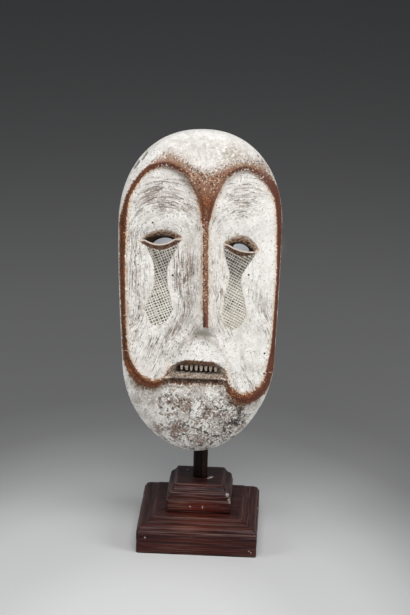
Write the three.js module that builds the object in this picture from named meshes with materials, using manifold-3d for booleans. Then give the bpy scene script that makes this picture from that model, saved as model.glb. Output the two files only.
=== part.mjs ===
// An idumu mask: a long oval face carved hollow from one piece of wood and whitened with clay,
// hung over a round post that stands on a moulded hardwood plinth of two tiers.
// Millimetres, +Z up. The origin is the centre of the plinth's underside and the mask looks along -Y.
import * as THREE from 'three';
import Module from 'manifold-3d';

// Plinth: two square moulded tiers, one on the other.
const SEAT_GAP = 0.3;
const LOWER_WIDTH = 122;
const LOWER_FACE = 24;
const LOWER_MOULD = { rise: 10.4, inset: 16.6 };
const UPPER_WIDTH = 66.2;
const UPPER_FACE = 13;
const UPPER_MOULD = { rise: 14.6, inset: 8.7 };
const CORNER_WEAR = 1.2;
const EASED_EDGE = 0.7;
const MOULD_STEPS = 5;

// Post: a round dark rod.
const POST_RADIUS = 7.25;
const POST_SIDES = 28;
const POST_TOP = 396.8;
const POST_CHAMFER = 1;

// Where the mask hangs: the middle of its back edge at the bottom, its turn and its lean.
const MASK_FOOT = { x: -3.5, y: -9.45, z: 96 };
const MASK_TURN = 9;
const MASK_LEAN = 6;

// The mask's own frame: x across, z up from the lowest edge, and depth forward of the flat back.
const MASK_HEIGHT = 328;
const CROWN_START = 235;
const CROWN_HALF_WIDTH = 81;
const CROWN_SQUARENESS = 2.2;
const CHIN_START = 100;
const CHIN_HALF_WIDTH = 76.3;
const CHIN_SQUARENESS = 1.92;
const TAPER_POWER = 1.6;
const AXIS_SHIFT = { ends: -0.8, middle: -2.3 };
const OUTLINE_POINTS = 150;

// Depths of the carved face at given heights, as pairs of height and depth.
const EDGE_DEPTH = [[0, 8], [30, 11], [95, 27], [235, 28], [290, 19], [328, 9]];
const BODY_DEPTH = [[0, 34], [40, 37], [72, 39], [82, 39.5], [104, 46], [128, 46], [150, 46], [240, 49],
  [270, 49.5], [300, 48], [328, 44]];
const LOBE_INNER_DEPTH = [[60, 43], [100, 44.5], [160, 44], [224, 43], [250, 45], [272, 42.5], [296, 41]];
const LOBE_OUTER_DEPTH = [[60, 39], [100, 37.5], [220, 36.5], [280, 38], [296, 39]];
const CREST_DEPTH = [[139, 61.5], [166, 57], [224, 50.8], [262, 49.6], [300, 47]];
const BODY_FALL = 12;
const SIDE_REACH = 78;

// The two hollowed lobes of the face. The carver set the right one lower.
const LEFT_LOBE = [[-40, 296], [-56, 290.5], [-68, 275.5], [-75, 257], [-77.6, 215], [-77.2, 165],
  [-75.2, 118], [-67.5, 95], [-53, 82], [-39, 84.5], [-33, 98], [-20, 130], [-4.4, 139.5], [-3.1, 185],
  [-3.3, 232], [-7, 262], [-17, 283], [-28, 292]];
const RIGHT_LOBE = [[40, 291.5], [52, 285], [62, 273.5], [69, 257], [71.8, 215], [71.6, 165],
  [69, 118], [64.5, 93], [60, 74], [47, 64], [33, 65.5], [24.5, 78], [21.5, 97], [14, 128],
  [4.4, 139.5], [3.2, 185], [3.4, 228], [7.5, 256], [18, 279.5], [28, 288]];
const LOBE_POINTS = 136;
// How the lobe meets what is round it: a sharp crease under the crown's lip, a soft fold beside the
// upper lip, and a thick rounded edge over the chin.
const CREASE = 1.5;
const FOLD = { width: 5, from: [88, 106], to: [150, 190] };
const UNDER_EDGE = { width: 9, to: [88, 112] };
const MOUTH_SIDE = { from: [76, 86], middle: -6, reach: [22, 30] };
const CROWN_LIP = { width: 8, drop: 2.2, from: [240, 285] };
const LOBE_HOLLOW = 1.6;

// Nose: a long narrow ridge that widens to a sharp base.
const NOSE = { tip: 140.5, base: 128.5, topHalf: 6, baseHalf: 13.5, start: 250, fade: 275, crestHalf: 2.6 };

// Eyes: almond hollows with bevelled lids, pierced by a slit.
const EYES = [
  { x: -42.3, z: 224.6, turn: 4, half: 21.5, up: 9.4, down: 10.6, slit: { x: -41, z: 222, turn: 8, half: 14 } },
  { x: 36.8, z: 215.8, turn: -14, half: 19, up: 9.8, down: 8.8, slit: { x: 36.8, z: 215.4, turn: -13, half: 12.5 } },
];
const LID_DEPTH = 4.6;
const LID_FLOOR = 0.36;
const SLIT_RISE = 4.1;
const SLIT_FLARE = 1.2;
const SLIT_POINTS = 20;
const SLIT_DEPTHS = [52, 36, 22];
const BROW = { above: 20, swell: 1.6, across: 20, along: 13, edge: 6 };

// Sunk patches below the eyes: half width at shares of the way down.
const PATCH_HALF = [[0, 16.5], [0.06, 15.5], [0.18, 11], [0.32, 5], [0.46, 7.5], [0.62, 11.5], [0.79, 13.6],
  [0.91, 10.5], [0.97, 6], [1, 0]];
const PATCHES = [
  { top: 221, bottom: 137, axis: [[138, -46], [160, -44], [192, -42.8], [216, -41.5]], size: 1 },
  { top: 215, bottom: 132, axis: [[133, 29.5], [152, 31], [184, 30.8], [210, 35]], size: 0.95 },
];
const PATCH_ROWS = 24;
const PATCH_SINK = 1.1;
const PATCH_EDGE = 2.2;

// Mouth: a frame that narrows upward, a row of pegs, a full lower lip and a groove below it.
const MOUTH = { left: -37, right: 22.5, topLeft: -25, topRight: 16.5 };
const MOUTH_TOP = { x: -4.5, z: 101.3, slope: -0.088 };
const MOUTH_BOTTOM = { x: -4.5, z: 78.2, slope: -0.04 };
const MOUTH_END = 6;
const MOUTH_PROFILE = [[-0.1, 46], [0, 45.4], [0.05, 44.2], [0.2, 40.8], [0.24, 36.2], [0.47, 35.6],
  [0.51, 41], [0.57, 43], [0.66, 43.3], [0.74, 42], [0.79, 39], [0.84, 36.8], [0.92, 36.9], [1.16, 39.2]];
const MOUTH_SHARES = [-0.08, 0, 0.06, 0.13, 0.2, 0.235, 0.35, 0.46, 0.51, 0.57, 0.66, 0.74, 0.79, 0.84, 0.92,
  1.03, 1.15];
const TOOTH_SHARES = [0.195, 0.22, 0.34, 0.46, 0.485];
const TEETH = { count: 9, left: -26.1, right: 13.3, width: 2.5, top: 0.2, tip: 0.47, depth: 40.4 };

// Hollow back: wall thickness shows at the rim, and the inside follows the face without its carving.
const SIDE_TAPER = 4.5;
const RIM_WIDTH = 8;
const INNER_DEPTH = [[0, 22], [40, 27], [80, 29], [100, 31], [224, 31], [270, 32.5], [300, 34], [328, 34]];
const INNER_FALL = 6;
const INNER_ROUND = 26;

// Mesh spacing.
const FACE_PITCH = 5.6;
const BACK_PITCH = 9;
const MOUTH_PITCH = 2.1;
const EDGE_RINGS = [1.2, 2.9];
const LOBE_RING = 3.6;

const WHITE_CLAY = new THREE.MeshStandardMaterial({ color: 0xe6e2da, roughness: 0.9, metalness: 0 });
const DARK_POST = new THREE.MeshStandardMaterial({ color: 0x1c1110, roughness: 0.5, metalness: 0 });
const RED_WOOD = new THREE.MeshStandardMaterial({ color: 0x43201c, roughness: 0.4, metalness: 0 });

const clamp = (v, low, high) => Math.min(high, Math.max(low, v));
const mix = (a, b, t) => a + (b - a) * t;
const radians = THREE.MathUtils.degToRad;

function smooth(a, b, v) {
  const t = clamp((v - a) / (b - a), 0, 1);
  return t * t * (3 - 2 * t);
}

// Value at v on a table of [place, value] pairs, on straight lines between the places.
function straight(table, v) {
  const last = table.length - 1;
  const place = clamp(v, table[0][0], table[last][0]);
  const k = Math.max(1, table.findIndex((row) => row[0] >= place));
  const [a, b] = [table[k - 1], table[k]];
  return mix(a[1], b[1], (place - a[0]) / (b[0] - a[0]));
}

// Value at v on a smooth curve through a table of [place, value] pairs.
function along(table, v) {
  const last = table.length - 1;
  const place = clamp(v, table[0][0], table[last][0]);
  const k = Math.max(1, table.findIndex((row) => row[0] >= place));
  const slope = (i) => {
    const [before, after] = [table[Math.max(0, i - 1)], table[Math.min(last, i + 1)]];
    return (after[1] - before[1]) / (after[0] - before[0]);
  };
  const [a, b] = [table[k - 1], table[k]];
  const span = b[0] - a[0];
  const t = (place - a[0]) / span;
  const ease = t * t * (3 - 2 * t);
  const lead = span * slope(k - 1) * t * (1 - t) ** 2;
  const trail = span * slope(k) * t * t * (1 - t);
  return mix(a[1], b[1], ease) + lead - trail;
}

// A quarter round that rises from 0 at the edge to 1.
function round(t) {
  const s = 1 - clamp(t, 0, 1);
  return Math.sqrt(1 - s * s);
}

// Plan curves: the outline of the mask and the lobes, as closed rings of points.
function axisAt(z) {
  return AXIS_SHIFT.ends + AXIS_SHIFT.middle * Math.sin(Math.PI * z / MASK_HEIGHT);
}

function halfOutline() {
  const points = [];
  const steps = 60;
  const chin = 2 / CHIN_SQUARENESS;
  const crown = 2 / CROWN_SQUARENESS;
  for (let i = 0; i <= steps; i++) {
    const a = Math.PI / 2 * i / steps;
    points.push([CHIN_HALF_WIDTH * Math.sin(a) ** chin, CHIN_START * (1 - Math.cos(a) ** chin)]);
  }
  for (let i = 1; i < steps; i++) {
    const t = i / steps;
    const ease = 1 - (1 - t) ** TAPER_POWER;
    points.push([mix(CHIN_HALF_WIDTH, CROWN_HALF_WIDTH, ease), mix(CHIN_START, CROWN_START, t)]);
  }
  for (let i = 0; i <= steps; i++) {
    const a = Math.PI / 2 * i / steps;
    points.push([CROWN_HALF_WIDTH * Math.cos(a) ** crown,
      CROWN_START + (MASK_HEIGHT - CROWN_START) * Math.sin(a) ** crown]);
  }
  return points;
}

function spaced(ring, count) {
  const total = [0];
  const at = (i) => ring[i % ring.length];
  for (let i = 0; i < ring.length; i++) {
    total.push(total[i] + Math.hypot(at(i + 1)[0] - at(i)[0], at(i + 1)[1] - at(i)[1]));
  }
  const result = [];
  let k = 0;
  for (let i = 0; i < count; i++) {
    const want = total[ring.length] * i / count;
    while (total[k + 1] < want) k++;
    const t = (want - total[k]) / (total[k + 1] - total[k]);
    result.push([mix(at(k)[0], at(k + 1)[0], t), mix(at(k)[1], at(k + 1)[1], t)]);
  }
  return result;
}

function outlineRing() {
  const half = halfOutline();
  const rightSide = half.map(([w, z]) => [axisAt(z) + w, z]);
  const leftSide = half.slice(1, -1).reverse().map(([w, z]) => [axisAt(z) - w, z]);
  return spaced([...rightSide, ...leftSide], OUTLINE_POINTS);
}

function lobeRing(points) {
  const knots = points.map(([x, z]) => new THREE.Vector3(x, 0, z));
  const curve = new THREE.CatmullRomCurve3(knots, true, 'catmullrom', 0.5);
  const dense = curve.getPoints(points.length * 12).slice(0, -1).map((p) => [p.x, p.z]);
  return spaced(dense, LOBE_POINTS);
}

// Rings run anticlockwise or clockwise; a positive inset moves each point inward.
function inset(ring, distance) {
  const n = ring.length;
  let area = 0;
  ring.forEach(([x, z], i) => {
    const [x2, z2] = ring[(i + 1) % n];
    area += x * z2 - x2 * z;
  });
  const turn = Math.sign(area);
  return ring.map(([x, z], i) => {
    const [x0, z0] = ring[(i + n - 1) % n];
    const [x1, z1] = ring[(i + 1) % n];
    const length = Math.hypot(x1 - x0, z1 - z0);
    const d = typeof distance === 'function' ? distance(x, z) : distance;
    return [x - turn * d * (z1 - z0) / length, z + turn * d * (x1 - x0) / length];
  });
}

function inside(ring, x, z) {
  let odd = false;
  for (let i = 0, j = ring.length - 1; i < ring.length; j = i++) {
    const [xi, zi] = ring[i];
    const [xj, zj] = ring[j];
    if ((zi > z) !== (zj > z) && x < (xj - xi) * (z - zi) / (zj - zi) + xi) odd = !odd;
  }
  return odd;
}

// Distance to a ring, positive inside it.
function depthInside(ring, x, z) {
  let best = Infinity;
  for (let i = 0, j = ring.length - 1; i < ring.length; j = i++) {
    const [x0, z0] = ring[j];
    const [dx, dz] = [ring[i][0] - x0, ring[i][1] - z0];
    const t = clamp(((x - x0) * dx + (z - z0) * dz) / (dx * dx + dz * dz), 0, 1);
    best = Math.min(best, Math.hypot(x - x0 - t * dx, z - z0 - t * dz));
  }
  return inside(ring, x, z) ? best : -best;
}

const OUTLINE = outlineRing();
const LOBES = [lobeRing(LEFT_LOBE), lobeRing(RIGHT_LOBE)];

// Carved features, each as a function of the place on the face.
function crestShape(x, z) {
  const ends = smooth(NOSE.base, NOSE.tip, z) * (1 - smooth(NOSE.start, NOSE.fade, z));
  const spread = clamp((NOSE.start - z) / (NOSE.start - NOSE.tip), 0, 1);
  const half = mix(NOSE.topHalf, NOSE.baseHalf, spread);
  const away = clamp((Math.abs(x) - NOSE.crestHalf) / (half - NOSE.crestHalf), 0, 1);
  const flank = mix((1 - away) ** 1.4, 1 - away, spread);
  return flank * ends;
}

function eyePlace(eye, x, z) {
  const a = radians(eye.turn);
  const [dx, dz] = [x - eye.x, z - eye.z];
  return [dx * Math.cos(a) + dz * Math.sin(a), dz * Math.cos(a) - dx * Math.sin(a)];
}

function eyeHollow(eye, x, z) {
  const [a, b] = eyePlace(eye, x, z);
  const reach = (a / eye.half) ** 2 + Math.abs(b) / (b > 0 ? eye.up : eye.down);
  return LID_DEPTH * clamp((1 - reach) / (1 - LID_FLOOR), 0, 1);
}

function browSwell(eye, x, z) {
  const [dx, dz] = [(x - eye.x) / BROW.across, (z - eye.z - BROW.above) / BROW.along];
  return BROW.swell * Math.exp(-dx * dx - dz * dz);
}

function patchEdge(patch, x, z) {
  const share = (patch.top - z) / (patch.top - patch.bottom);
  if (share < 0 || share > 1) return -1;
  return along(PATCH_HALF, share) * patch.size - Math.abs(x - along(patch.axis, z));
}

function patchSink(patch, x, z) {
  return PATCH_SINK * smooth(0, PATCH_EDGE, patchEdge(patch, x, z));
}

function mouthShare(x, z) {
  const top = MOUTH_TOP.z + MOUTH_TOP.slope * (x - MOUTH_TOP.x);
  const bottom = MOUTH_BOTTOM.z + MOUTH_BOTTOM.slope * (x - MOUTH_BOTTOM.x);
  return (top - z) / (top - bottom);
}

function mouthDepth(x, z, body) {
  const share = mouthShare(x, z);
  const last = MOUTH_PROFILE[MOUTH_PROFILE.length - 1][0];
  if (share < MOUTH_PROFILE[0][0] || share > last) return body;
  const left = mix(MOUTH.topLeft, MOUTH.left, clamp(share, 0, 1));
  const right = mix(MOUTH.topRight, MOUTH.right, clamp(share, 0, 1));
  const ends = smooth(0, MOUTH_END, Math.min(x - left, right - x) + 1);
  let depth = straight(MOUTH_PROFILE, share);
  const pitch = (TEETH.right - TEETH.left) / TEETH.count;
  const place = (x - TEETH.left) / pitch;
  const inRow = place > 0 && place < TEETH.count && share > TEETH.top && share < TEETH.tip;
  if (inRow && Math.abs(place - Math.floor(place) - 0.5) * pitch < TEETH.width / 2) depth = TEETH.depth;
  return mix(body, depth, ends);
}

// Share of the lobe's own depth at a distance inside its edge, from 0 beside it to 1 on it.
function lobeShare(x, z, inLobe) {
  const byLip = smooth(...FOLD.from, z) * (1 - smooth(...FOLD.to, z));
  const width = mix(CREASE, FOLD.width, byLip);
  const sharp = smooth(-width / 2, width / 2, inLobe);
  const acrossMouth = 1 - smooth(...MOUTH_SIDE.reach, Math.abs(x - MOUTH_SIDE.middle));
  const byMouth = smooth(...MOUTH_SIDE.from, z) * acrossMouth;
  const under = (1 - smooth(...UNDER_EDGE.to, z)) * (1 - byMouth);
  return mix(sharp, round(1 + inLobe / UNDER_EDGE.width), under);
}

// Depth of the finished front of the mask.
function faceDepth(x, z) {
  const fromEdge = Math.max(0, depthInside(OUTLINE, x, z));
  const inLobe = Math.max(...LOBES.map((ring) => depthInside(ring, x, z)));
  const edge = along(EDGE_DEPTH, z);
  const across = clamp(Math.abs(x - axisAt(z)) / SIDE_REACH, 0, 1);
  const body = along(BODY_DEPTH, z) - BODY_FALL * across ** 2;
  const reach = fromEdge / (fromEdge + Math.max(0, -inLobe) + 1e-6);
  let outer = mix(edge, body, round(inLobe > 0 ? 1 : reach));
  const lip = 1 - round(clamp(-inLobe, 0, CROWN_LIP.width) / CROWN_LIP.width);
  outer -= CROWN_LIP.drop * smooth(...CROWN_LIP.from, z) * lip;
  outer = mouthDepth(x, z, outer);
  const lobe = mix(along(LOBE_INNER_DEPTH, z), along(LOBE_OUTER_DEPTH, z), across ** LOBE_HOLLOW);
  let depth = mix(outer, lobe, lobeShare(x, z, inLobe));
  const crest = along(CREST_DEPTH, z);
  depth = Math.max(depth, mix(depth, crest, crestShape(x, z)));
  EYES.forEach((eye, i) => {
    depth += browSwell(eye, x, z) * smooth(0, BROW.edge, inLobe);
    depth -= Math.max(eyeHollow(eye, x, z), patchSink(PATCHES[i], x, z));
  });
  return depth;
}

// Delaunay triangles over plan points, by adding one point at a time.
function triangulate(points) {
  const far = 4000;
  const all = [...points, [-far, -far], [far, -far], [0, far]];
  const n = points.length;
  const circle = (a, b, c) => {
    const [ax, ay] = all[a];
    const [bx, by] = [all[b][0] - ax, all[b][1] - ay];
    const [cx, cy] = [all[c][0] - ax, all[c][1] - ay];
    const d = 2 * (bx * cy - by * cx);
    const ux = (cy * (bx * bx + by * by) - by * (cx * cx + cy * cy)) / d;
    const uy = (bx * (cx * cx + cy * cy) - cx * (bx * bx + by * by)) / d;
    return { v: [a, b, c], x: ax + ux, y: ay + uy, r: ux * ux + uy * uy };
  };
  let open = [circle(n, n + 1, n + 2)];
  const done = [];
  const order = points.map((p, i) => i).sort((i, j) => points[i][0] - points[j][0]);
  for (const i of order) {
    const [px, py] = all[i];
    const edges = new Map();
    const keep = [];
    for (const t of open) {
      if (px - t.x > 0 && (px - t.x) ** 2 > t.r) {
        done.push(t);
      } else if ((px - t.x) ** 2 + (py - t.y) ** 2 < t.r) {
        for (let k = 0; k < 3; k++) {
          const [a, b] = [t.v[k], t.v[(k + 1) % 3]];
          if (edges.has(`${b},${a}`)) edges.delete(`${b},${a}`);
          else edges.set(`${a},${b}`, [a, b]);
        }
      } else {
        keep.push(t);
      }
    }
    for (const [a, b] of edges.values()) keep.push(circle(a, b, i));
    open = keep;
  }
  return [...done, ...open].map((t) => t.v).filter((v) => v.every((i) => i < n));
}

// A small fixed scatter keeps grid points off a common circle.
function scatter(i) {
  const s = Math.sin(i * 12.9898) * 43758.5453;
  return (s - Math.floor(s) - 0.5) * 0.3;
}

// Fills a ring with triangles: its own points, the given curves, and a grid between them.
function planMesh(ring, curves, pitch) {
  const points = ring.map((p) => [...p]);
  const clearOf = (x, z, gap) => points.every(([a, b]) => (a - x) ** 2 + (b - z) ** 2 > gap * gap);
  for (const { list, gap } of curves) {
    for (const [x, z] of list) {
      if (depthInside(ring, x, z) > gap && clearOf(x, z, gap)) points.push([x, z]);
    }
  }
  const rows = Math.ceil(MASK_HEIGHT / (pitch * 0.866));
  const reach = Math.ceil(90 / pitch);
  for (let row = 0; row < rows; row++) {
    for (let k = -reach; k <= reach; k++) {
      const i = points.length;
      const x = (k + (row % 2) / 2) * pitch + scatter(i);
      const z = row * pitch * 0.866 + scatter(i + 0.5);
      if (depthInside(ring, x, z) > pitch * 0.5 && clearOf(x, z, pitch * 0.62)) points.push([x, z]);
    }
  }
  const triangles = triangulate(points).filter((t) => {
    const x = (points[t[0]][0] + points[t[1]][0] + points[t[2]][0]) / 3;
    const z = (points[t[0]][1] + points[t[1]][1] + points[t[2]][1]) / 3;
    return inside(ring, x, z);
  });
  return { points, triangles };
}

// Curves that the face mesh follows.
function lens(place, scale, count, halfUp, halfDown) {
  const a = radians(place.turn);
  const ring = [];
  for (let i = 0; i < count; i++) {
    const t = 2 * Math.PI * i / count;
    const u = place.half * scale * Math.cos(t);
    const v = (Math.sin(t) > 0 ? halfUp : -halfDown) * scale * Math.sin(t) ** 2;
    ring.push([place.x + u * Math.cos(a) - v * Math.sin(a), place.z + u * Math.sin(a) + v * Math.cos(a)]);
  }
  return ring;
}

function patchRing(patch, offset) {
  const ring = [];
  for (const side of [-1, 1]) {
    for (let i = 0; i <= PATCH_ROWS; i++) {
      const share = i / PATCH_ROWS;
      const z = mix(patch.top, patch.bottom, share);
      const half = along(PATCH_HALF, share) * patch.size - offset;
      if (half >= 0) ring.push([along(patch.axis, z) + side * half, z]);
    }
  }
  return ring;
}

function mouthPoints() {
  const list = [];
  for (const share of MOUTH_SHARES) {
    for (let x = MOUTH.left - 2; x < MOUTH.right + 2; x += MOUTH_PITCH) {
      const top = MOUTH_TOP.z + MOUTH_TOP.slope * (x - MOUTH_TOP.x);
      const bottom = MOUTH_BOTTOM.z + MOUTH_BOTTOM.slope * (x - MOUTH_BOTTOM.x);
      list.push([x, mix(top, bottom, share)]);
    }
  }
  return list;
}

function toothPoints() {
  const list = [];
  const pitch = (TEETH.right - TEETH.left) / TEETH.count;
  for (let i = 0; i < TEETH.count; i++) {
    const middle = TEETH.left + (i + 0.5) * pitch;
    for (const side of [-1, 1].flatMap((k) => [k * (TEETH.width / 2 + 0.25), k * (TEETH.width / 2 - 0.25)])) {
      const x = middle + side;
      const top = MOUTH_TOP.z + MOUTH_TOP.slope * (x - MOUTH_TOP.x);
      const bottom = MOUTH_BOTTOM.z + MOUTH_BOTTOM.slope * (x - MOUTH_BOTTOM.x);
      for (const share of TOOTH_SHARES) list.push([x, mix(top, bottom, share)]);
    }
  }
  return list;
}

function nosePoints() {
  const list = [];
  for (let z = NOSE.tip; z < NOSE.start; z += FACE_PITCH) {
    const spread = clamp((NOSE.start - z) / (NOSE.start - NOSE.tip), 0, 1);
    const half = mix(NOSE.topHalf, NOSE.baseHalf, spread);
    for (const x of [0, NOSE.crestHalf, mix(NOSE.crestHalf, half, 0.55), half]) list.push([x, z], [-x, z]);
  }
  for (const z of [NOSE.base, mix(NOSE.base, NOSE.tip, 0.5), NOSE.tip]) {
    for (let x = -NOSE.baseHalf; x <= NOSE.baseHalf; x += NOSE.baseHalf / 5) list.push([x, z]);
  }
  return list;
}

function faceCurves() {
  const curves = [
    ...EDGE_RINGS.map((step) => ({ list: inset(OUTLINE, step), gap: 0.8 })),
    { list: toothPoints(), gap: 0.2 },
    { list: mouthPoints(), gap: 1.15 },
    { list: nosePoints(), gap: 1.3 },
  ];
  for (const ring of LOBES) {
    for (const step of [-CREASE / 2, CREASE / 2]) {
      const edge = inset(ring, step).filter(([x, z]) => !(Math.abs(x) < NOSE.baseHalf && z > NOSE.base
        && z < NOSE.start - FACE_PITCH));
      curves.push({ list: edge, gap: 1.1 });
    }
    const within = inset(ring, LOBE_RING).filter(([x, z]) => Math.abs(x) > 60 && z < 250);
    curves.push({ list: within, gap: 1.8 });
    for (const share of [0.36, 0.7, 0.92, 1.03]) {
      const below = inset(ring, -share * UNDER_EDGE.width).filter(([, z]) => z < 96);
      curves.push({ list: below, gap: 0.9 });
    }
    for (const share of [0.4, 0.8]) {
      const above = inset(ring, -share * CROWN_LIP.width).filter(([, z]) => z > 255);
      curves.push({ list: above, gap: 1.8 });
    }
  }
  for (const eye of EYES) {
    for (const scale of [1.02, 0.8, 0.6]) {
      curves.push({ list: lens(eye, scale, 26, eye.up, eye.down), gap: 1 });
    }
  }
  for (const patch of PATCHES) {
    curves.push({ list: patchRing(patch, 0), gap: 0.9 });
    curves.push({ list: patchRing(patch, PATCH_EDGE), gap: 0.9 });
  }
  return curves;
}

// Closed body: the carved front, the side wall, the flat rim and the hollow.
function maskBody() {
  const front = planMesh(OUTLINE, faceCurves(), FACE_PITCH);
  const rimOuter = inset(OUTLINE, SIDE_TAPER);
  const rimInner = inset(OUTLINE, SIDE_TAPER + RIM_WIDTH);
  const back = planMesh(rimInner, [{ list: inset(rimInner, 3), gap: 2 }, { list: inset(rimInner, 9), gap: 4 }],
    BACK_PITCH);
  const hollowDepth = (x, z) => {
    const share = Math.abs(x - axisAt(z)) / SIDE_REACH;
    const full = along(INNER_DEPTH, z) - INNER_FALL * share ** 2;
    return full * round(Math.max(0, depthInside(rimInner, x, z)) / INNER_ROUND);
  };
  const vertices = [];
  const faces = [];
  const addRing = (ring, depth) => {
    const start = vertices.length;
    for (const [x, z] of ring) vertices.push([x, -depth(x, z), z]);
    return start;
  };
  const n = OUTLINE.length;
  const join = (a, b) => {
    for (let i = 0; i < n; i++) {
      const j = (i + 1) % n;
      faces.push([a + i, b + i, b + j], [a + i, b + j, a + j]);
    }
  };
  const edgeDepth = (x, z) => along(EDGE_DEPTH, z);
  const frontStart = addRing(front.points, (x, z) => faceDepth(x, z));
  for (let i = 0; i < n; i++) vertices[frontStart + i][1] = -edgeDepth(...OUTLINE[i]);
  const side = inset(OUTLINE, SIDE_TAPER * 0.35);
  const sideStart = vertices.length;
  side.forEach(([x, z], i) => vertices.push([x, -0.45 * edgeDepth(...OUTLINE[i]), z]));
  const rimStart = addRing(rimOuter, () => 0);
  const backStart = addRing(back.points, hollowDepth);
  for (let i = 0; i < n; i++) vertices[backStart + i][1] = 0;
  join(frontStart, sideStart);
  join(sideStart, rimStart);
  join(rimStart, backStart);
  for (const [a, b, c] of front.triangles) faces.push([frontStart + a, frontStart + b, frontStart + c]);
  for (const [a, b, c] of back.triangles) faces.push([backStart + a, backStart + c, backStart + b]);
  return { vertices, faces };
}

// The eye slit as a closed cutter that widens towards the back.
function slitCutter(slit) {
  const scales = [1, 1, SLIT_FLARE];
  const vertices = [];
  const faces = [];
  const n = SLIT_POINTS;
  SLIT_DEPTHS.forEach((depth, k) => {
    for (const [x, z] of lens(slit, scales[k], n, SLIT_RISE, SLIT_RISE)) vertices.push([x, -depth, z]);
  });
  for (let k = 0; k < 2; k++) {
    for (let i = 0; i < n; i++) {
      const [a, b] = [k * n + i, k * n + (i + 1) % n];
      faces.push([a, a + n, b + n], [a, b + n, b]);
    }
  }
  for (let i = 1; i < n - 1; i++) {
    faces.push([0, i, i + 1], [2 * n, 2 * n + i + 1, 2 * n + i]);
  }
  return { vertices, faces };
}

const wasm = await Module();
wasm.setup();

function solidOf({ vertices, faces }) {
  return new wasm.Manifold(new wasm.Mesh({
    numProp: 3,
    vertProperties: new Float32Array(vertices.flat()),
    triVerts: new Uint32Array(faces.flat()),
  }));
}

function geometryOf(solid) {
  const mesh = solid.getMesh();
  const geometry = new THREE.BufferGeometry();
  geometry.setAttribute('position', new THREE.BufferAttribute(new Float32Array(mesh.vertProperties), 3));
  geometry.setIndex(new THREE.BufferAttribute(new Uint32Array(mesh.triVerts), 1));
  geometry.computeVertexNormals();
  return geometry;
}

function maskMesh() {
  let solid = solidOf(maskBody());
  for (const eye of EYES) solid = solid.subtract(solidOf(slitCutter(eye.slit)));
  const mesh = new THREE.Mesh(geometryOf(solid), WHITE_CLAY);
  mesh.name = 'mask';
  mesh.rotation.set(-radians(MASK_LEAN), 0, radians(MASK_TURN), 'ZXY');
  mesh.position.set(MASK_FOOT.x, MASK_FOOT.y, MASK_FOOT.z);
  return mesh;
}

// A plinth tier: square sections stacked up the profile of its moulding, which is a quarter round,
// a fillet and a shallow cove, with the corners slightly worn.
function tierProfile(width, face, mould) {
  const at = (run, rise) => [width / 2 - run * mould.inset, face + rise * mould.rise];
  const profile = [[width / 2 - EASED_EDGE, 0], [width / 2, EASED_EDGE], [width / 2, face - EASED_EDGE],
    at(0.04, 0), at(0.09, 0), at(0.09, 0.08)];
  for (let i = 1; i <= MOULD_STEPS; i++) {
    const a = Math.PI / 2 * i / MOULD_STEPS;
    profile.push(at(mix(0.09, 0.52, 1 - Math.cos(a)), mix(0.08, 0.56, Math.sin(a))));
  }
  profile.push(at(0.6, 0.57), at(0.6, 0.64));
  for (let i = 1; i <= MOULD_STEPS; i++) {
    const a = Math.PI / 2 * i / MOULD_STEPS;
    profile.push(at(mix(0.6, 0.93, Math.sin(a) * 0.4 + 0.6 * i / MOULD_STEPS), mix(0.64, 0.96, i / MOULD_STEPS)));
  }
  profile.push(at(1, 1));
  return profile;
}

function tierMesh(name, width, face, mould, base) {
  const vertices = [];
  const faces = [];
  const sections = tierProfile(width, face, mould);
  for (const [half, z] of sections) {
    const cut = half - CORNER_WEAR;
    for (const [x, y] of [[cut, -half], [half, -cut], [half, cut], [cut, half],
      [-cut, half], [-half, cut], [-half, -cut], [-cut, -half]]) vertices.push([x, y, z]);
  }
  const n = 8;
  for (let k = 0; k < sections.length - 1; k++) {
    for (let i = 0; i < n; i++) {
      const [a, b] = [k * n + i, k * n + (i + 1) % n];
      faces.push([a, b, b + n], [a, b + n, a + n]);
    }
  }
  const top = (sections.length - 1) * n;
  for (let i = 1; i < n - 1; i++) faces.push([0, i + 1, i], [top, top + i, top + i + 1]);
  const mesh = new THREE.Mesh(geometryOf(solidOf({ vertices, faces })), RED_WOOD);
  mesh.name = name;
  mesh.position.z = base;
  return mesh;
}

function postMesh(base) {
  const profile = [[0, 0], [POST_RADIUS, 0], [POST_RADIUS, POST_TOP - base - POST_CHAMFER],
    [POST_RADIUS - POST_CHAMFER, POST_TOP - base], [0, POST_TOP - base]];
  const geometry = new THREE.LatheGeometry(profile.map(([r, z]) => new THREE.Vector2(r, z)), POST_SIDES);
  geometry.rotateX(Math.PI / 2);
  const mesh = new THREE.Mesh(geometry, DARK_POST);
  mesh.name = 'post';
  mesh.position.z = base;
  return mesh;
}

const upperBase = LOWER_FACE + LOWER_MOULD.rise + SEAT_GAP;
const postBase = upperBase + UPPER_FACE + UPPER_MOULD.rise + SEAT_GAP;

const stand = new THREE.Group();
stand.add(tierMesh('plinth_lower', LOWER_WIDTH, LOWER_FACE, LOWER_MOULD, 0));
stand.add(tierMesh('plinth_upper', UPPER_WIDTH, UPPER_FACE, UPPER_MOULD, upperBase));
stand.add(postMesh(postBase));

const model = new THREE.Group();
model.add(stand);
model.add(maskMesh());

export default model;
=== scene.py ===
# %% [markdown]
# # An idumu mask on its stand
# The object is a long oval face mask, carved hollow from one piece of light wood and whitened with clay.
# Bare brown bands run round two sunken lobes that make the face. It hangs over a dark round post on a
# moulded plinth of red-brown hardwood. The lesson goes in this order: the studio, the carved face and its
# hollow back, where the paint lies, the stand's shapes, the finishes, and last what repeats, which is the
# lattice below the eyes and the pegs in the mouth.

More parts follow.
